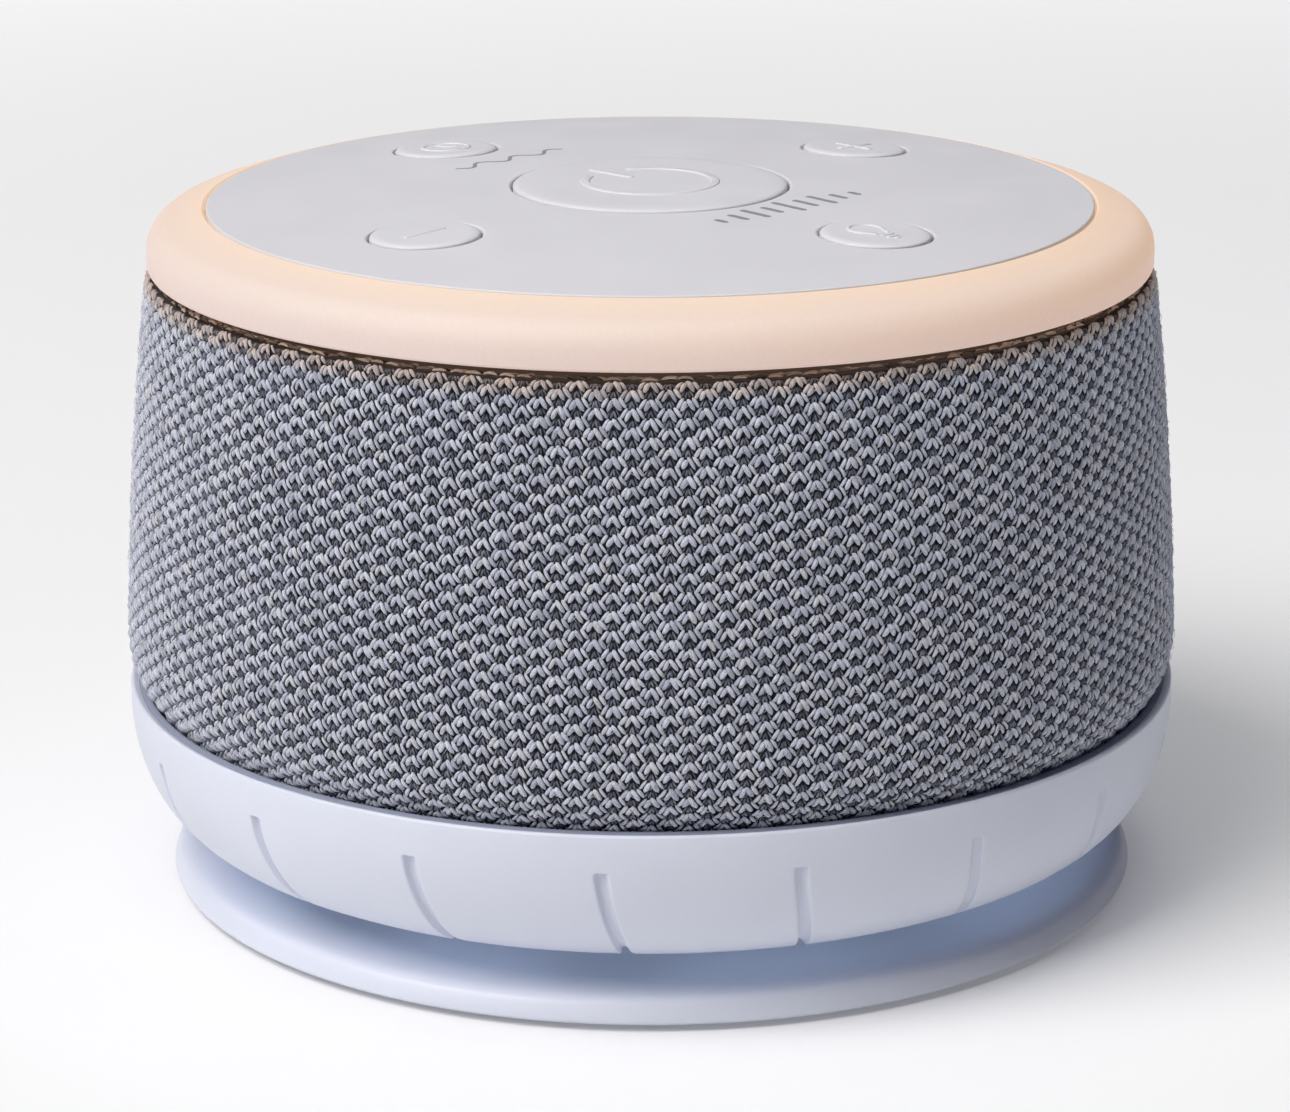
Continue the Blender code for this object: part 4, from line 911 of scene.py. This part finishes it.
def yarn_mesh(name, batches, look):
    """One mesh piece from batches of strands."""
    points, shades, fibres, triangles, quads = [], [], [], [], []
    base = 0
    for (placed, shade, fibre), sides, rings in batches:
        tris, rects = strand_faces(len(placed), sides, rings)
        points.append(placed.reshape(-1, 3))
        shades.append(shade.ravel())
        fibres.append(fibre.reshape(-1, 3))
        triangles.append(tris + base)
        quads.append(rects + base)
        base += placed.shape[0] * placed.shape[1]
    mesh = bpy.data.meshes.new(name)
    mesh.vertices.add(base)
    mesh.vertices.foreach_set("co", (np.concatenate(points) * MM).astype(np.float32).ravel())
    triangles, quads = np.concatenate(triangles), np.concatenate(quads)
    corners = np.concatenate([triangles.ravel(), quads.ravel()])
    mesh.loops.add(len(corners))
    mesh.loops.foreach_set("vertex_index", corners.astype(np.int32))
    sizes = np.concatenate([np.full(len(triangles), 3), np.full(len(quads), 4)])
    mesh.polygons.add(len(sizes))
    mesh.polygons.foreach_set("loop_start", np.concatenate([[0], np.cumsum(sizes)[:-1]]).astype(np.int32))
    mesh.update(calc_edges=True)
    shade = mesh.attributes.new("shade", "FLOAT", "POINT")
    shade.data.foreach_set("value", np.concatenate(shades).astype(np.float32))
    fibre = mesh.attributes.new("fibre", "FLOAT_VECTOR", "POINT")
    fibre.data.foreach_set("vector", np.concatenate(fibres).astype(np.float32).ravel())
    mesh.shade_smooth()
    return finish_piece(name, mesh, look, "housing")


# Legs of a light stitch, as (u, v, h) control points from its head to its foot, then width and thickness.
LIGHT_LEGS = [
    ([(-0.16, 0.70, 0.38), (0.36, 0.16, 1.08), (0.90, -0.94, 0.36)], 0.66, 0.42),
    ([(-0.10, 0.46, 0.38), (-0.44, -0.05, 1.02), (-0.84, -0.92, 0.36)], 0.60, 0.40),
    ([(-0.52, 0.70, 0.34), (-0.98, 0.17, 0.94), (-1.50, -0.68, 0.28)], 0.50, 0.38),
    ([(0.56, 0.78, 0.34), (1.02, 0.28, 0.94), (1.58, -0.62, 0.28)], 0.50, 0.38),
]
# Legs of a dark stitch, lower than the light ones round it.
DARK_LEGS = [
    ([(-0.04, 0.52, 0.20), (0.17, 0.00, 0.84), (0.34, -0.72, 0.15)], 0.32, 0.32),
    ([(0.02, 0.46, 0.20), (-0.19, -0.05, 0.84), (-0.36, -0.74, 0.15)], 0.32, 0.32),
    ([(0.20, 0.62, 0.10), (0.56, 0.05, 0.74), (0.84, -0.58, 0.10)], 0.26, 0.30),
    ([(-0.22, 0.62, 0.10), (-0.57, 0.05, 0.74), (-0.85, -0.58, 0.10)], 0.26, 0.30),
]
# Loose fibres across a light stitch.
HAIRS = [([(-0.7, 0.35, 0.6), (0.1, 0.1, 1.20), (0.8, -0.45, 0.6)], 0.07, 0.07),
         ([(0.5, 0.75, 0.6), (0.1, 0.0, 1.20), (-0.9, -0.7, 0.5)], 0.07, 0.07)]
# Loose loops past the last stitches, on the roll that turns in under the ring.
FLECKS = [([(-1.15, 0.05, 0.50), (0.0, 0.25, 0.95), (1.10, -0.05, 0.50)], 0.55, 0.36),
          ([(-0.30, 0.60, 0.45), (0.60, 0.85, 0.90), (1.50, 0.60, 0.45)], 0.50, 0.34),
          ([(-1.10, 1.10, 0.40), (-0.2, 1.30, 0.85), (0.80, 1.10, 0.40)], 0.50, 0.34),
          ([(-0.20, 1.60, 0.40), (0.7, 1.80, 0.85), (1.60, 1.60, 0.40)], 0.50, 0.34)]
RIM_LENGTH = 2.3  # from the last stitches, on the roll at the top, to the end of the cloth
FINE, PLAIN, THIN = (6, 5), (5, 3), (3, 3)  # sides and rings of a strand
LIGHT_STRAY, HAIR_STRAY, RIM_STRAY = 1.4, 6.0, 3.0
JITTER = (0.045, 0.045, 0.03)  # how far a strand with a stray of 1 strays, in mm
TAPER = 0.35  # below 1, a strand stays full almost to its tips
TWIST = 3.0  # radians that its fibres turn from end to end
FIBRES, FIBRE_RUN = 4.0, 1.6  # fineness of the fibres round it, and along it


def stitch_places(n, sectors, half_row):
    """Wale numbers and lengths up the line of every stitch of one colour in a sector."""
    wales, starts = [], []
    for wale in range(WALES * n // sectors, WALES * (n + 1) // sectors):
        shift = 0.5 * ((wale + half_row) % 2)
        for row in range(ROWS + 1):
            start = (row + shift + 0.25) * COURSE
            if 0.7 < start < SLEEVE_LENGTH - RIM_LENGTH - 0.4:
                wales.append(wale)
                starts.append(start)
    return np.array(wales, float), np.array(starts)


def strands(legs, places, rng, detail, stray=1.0):
    """Batches of strands: each leg of a stitch at every place."""
    return [(strand_points(path, width, thick, *places, rng, *detail, stray), *detail)
            for path, width, thick in legs]


def make_sleeve():
    """The ground cloth, and the light and dark yarn over it in sectors."""
    _, radii, heights, out, up = SLEEVE_LINE
    outer, inner = ([(r - depth * nr, z - depth * nz) for r, z, nr, nz in zip(radii, heights, out, up)][::4]
                    for depth in (PILE, PILE + CLOTH))
    ground = piece("knit_ground", lathe(outer + inner[::-1], 288), ground_look, "housing",
                   ["fabric_sleeve"], sharp=80)
    rng = np.random.default_rng(7)
    for n in range(LIGHT_SECTORS):
        places = stitch_places(n, LIGHT_SECTORS, 0)
        batches = strands(LIGHT_LEGS, places, rng, FINE, LIGHT_STRAY)
        batches += strands(HAIRS, places, rng, THIN, HAIR_STRAY)
        yarn_mesh(f"knit_yarn_light_{n + 1}", batches, light_yarn)
    for n in range(DARK_SECTORS):
        batches = strands(DARK_LEGS, stitch_places(n, DARK_SECTORS, 1), rng, PLAIN)
        yarn_mesh(f"knit_yarn_dark_{n + 1}", batches, dark_yarn)
    places = np.arange(WALES, dtype=float), np.full(WALES, SLEEVE_LENGTH - RIM_LENGTH + 0.35)
    yarn_mesh("knit_yarn_rim", strands(FLECKS, places, rng, FINE, RIM_STRAY), rim_yarn)


# ---- camera, floor and light

CAMERA_DISTANCE, CAMERA_HEIGHT = 0.5338, 0.1996  # metres, as are all lengths in this section
CAMERA_AZIMUTH = -135.0  # degrees
CAMERA_PITCH, CAMERA_YAW, CAMERA_ROLL = 0.288, 0.0015, -0.0027
CAMERA_LENS = 115.83
FLOOR_GLOW, FAR_GLOW = 0.11, 0.45  # of the floor near the unit, and far off, where the lamps fall off
NEAR, FAR = 0.35, 1.3  # distances between which the one turns into the other
FLOOR_HALF, FLOOR_DROP = 6.0, 0.0001
FLOOR_COLOURS = (0.79, 0.79, 0.795), (0.81, 0.81, 0.815)
SKY = [(0.0, (0.045, 0.045, 0.05)), (0.40, (0.045, 0.045, 0.05)), (0.62, (0.05, 0.05, 0.09)),
       (1.0, (0.05, 0.05, 0.09))]  # the dim light from all round, by height
BACKDROP = (0.80, 0.80, 0.82, 1)  # what the camera sees beyond the floor instead
AIM = (0, 0, 0.05)
KEY_LIGHT = ((-2.19, 0.35, 2.84), 2.25, 126.0, (1.0, 0.975, 0.96))  # place, size, power, colour
TOP_LIGHT = ((0.0, 0.0, 3.9), 2.7, 48.0, (0.98, 1.0, 0.94))


def make_camera():
    """A long lens, a little above the unit, on its front left quarter."""
    data = bpy.data.cameras.new("camera")
    data.lens = CAMERA_LENS
    data.clip_start, data.clip_end = 0.05, 20.0
    camera = linked("camera", data)
    heading = radians(CAMERA_AZIMUTH) + pi + CAMERA_YAW
    forward = Vector((cos(heading) * cos(CAMERA_PITCH), sin(heading) * cos(CAMERA_PITCH),
                      -sin(CAMERA_PITCH)))
    right = Vector((sin(heading), -cos(heading), 0))
    up = right.cross(forward)
    turned = Matrix((right, up, -forward)).transposed() @ Matrix.Rotation(CAMERA_ROLL, 3, "Z")
    place = Matrix.Translation((*polar(CAMERA_DISTANCE, CAMERA_AZIMUTH), CAMERA_HEIGHT))
    camera.matrix_world = place @ turned.to_4x4()
    bpy.context.scene.camera = camera


def area_light(name, place, size, power, colour):
    """A square soft light that faces the unit."""
    data = bpy.data.lights.new(name, "AREA")
    data.size, data.energy, data.color = size, power, colour
    made = linked(name, data)
    made.location = place
    made.rotation_euler = (Vector(AIM) - Vector(place)).to_track_quat("-Z", "Y").to_euler()


def make_floor():
    """A pale floor with a faint glow of its own, which grows with the distance from the unit."""
    look, tree, shader = new_look("floor_look", Roughness=0.75, Emission_Color=(1, 1, 1, 1))
    tree.links.new(blend(tree, object_noise(tree, 300.0), *FLOOR_COLOURS), shader.inputs["Base Color"])
    distance = node(tree, "VectorMath", "Value", {0: node(tree, "TexCoord", "Object")}, operation="LENGTH")
    glow = node(tree, "MapRange", "Result", {"Value": distance, "From Min": NEAR, "From Max": FAR,
                                             "To Min": FLOOR_GLOW, "To Max": FAR_GLOW},
                interpolation_type="SMOOTHSTEP")
    tree.links.new(glow, shader.inputs["Emission Strength"])
    mesh = bpy.data.meshes.new("floor")
    corners = [(x * FLOOR_HALF, y * FLOOR_HALF, 0) for x, y in ((-1, -1), (1, -1), (1, 1), (-1, 1))]
    mesh.from_pydata(corners, [], [(0, 1, 2, 3)])
    mesh.materials.append(look)
    floor = linked("floor", mesh)
    floor.location.z = -FLOOR_DROP


def make_studio():
    """The floor, a dim even surround that looks pale, a soft key light from the left and a top light."""
    make_floor()
    world = bpy.data.worlds.new("studio")
    world.use_nodes = True
    tree = world.node_tree
    height = node(tree, "SeparateXYZ", "Z", {"Vector": node(tree, "TexCoord", "Generated")})
    seen = node(tree, "LightPath", "Is Camera Ray")
    shown = node(tree, "MixRGB", "Color", {"Fac": seen, "Color1": ramp(tree, height, SKY),
                                           "Color2": BACKDROP})
    tree.links.new(shown, tree.nodes["Background"].inputs["Color"])
    bpy.context.scene.world = world
    area_light("key", *KEY_LIGHT)
    area_light("top", *TOP_LIGHT)
    bpy.context.scene.view_settings.view_transform = "Standard"


make_camera()
make_studio()
paint_cad_nodes()
make_base()
make_collar()
make_ring()
make_panel()
make_buttons()
make_print()
make_sleeve()
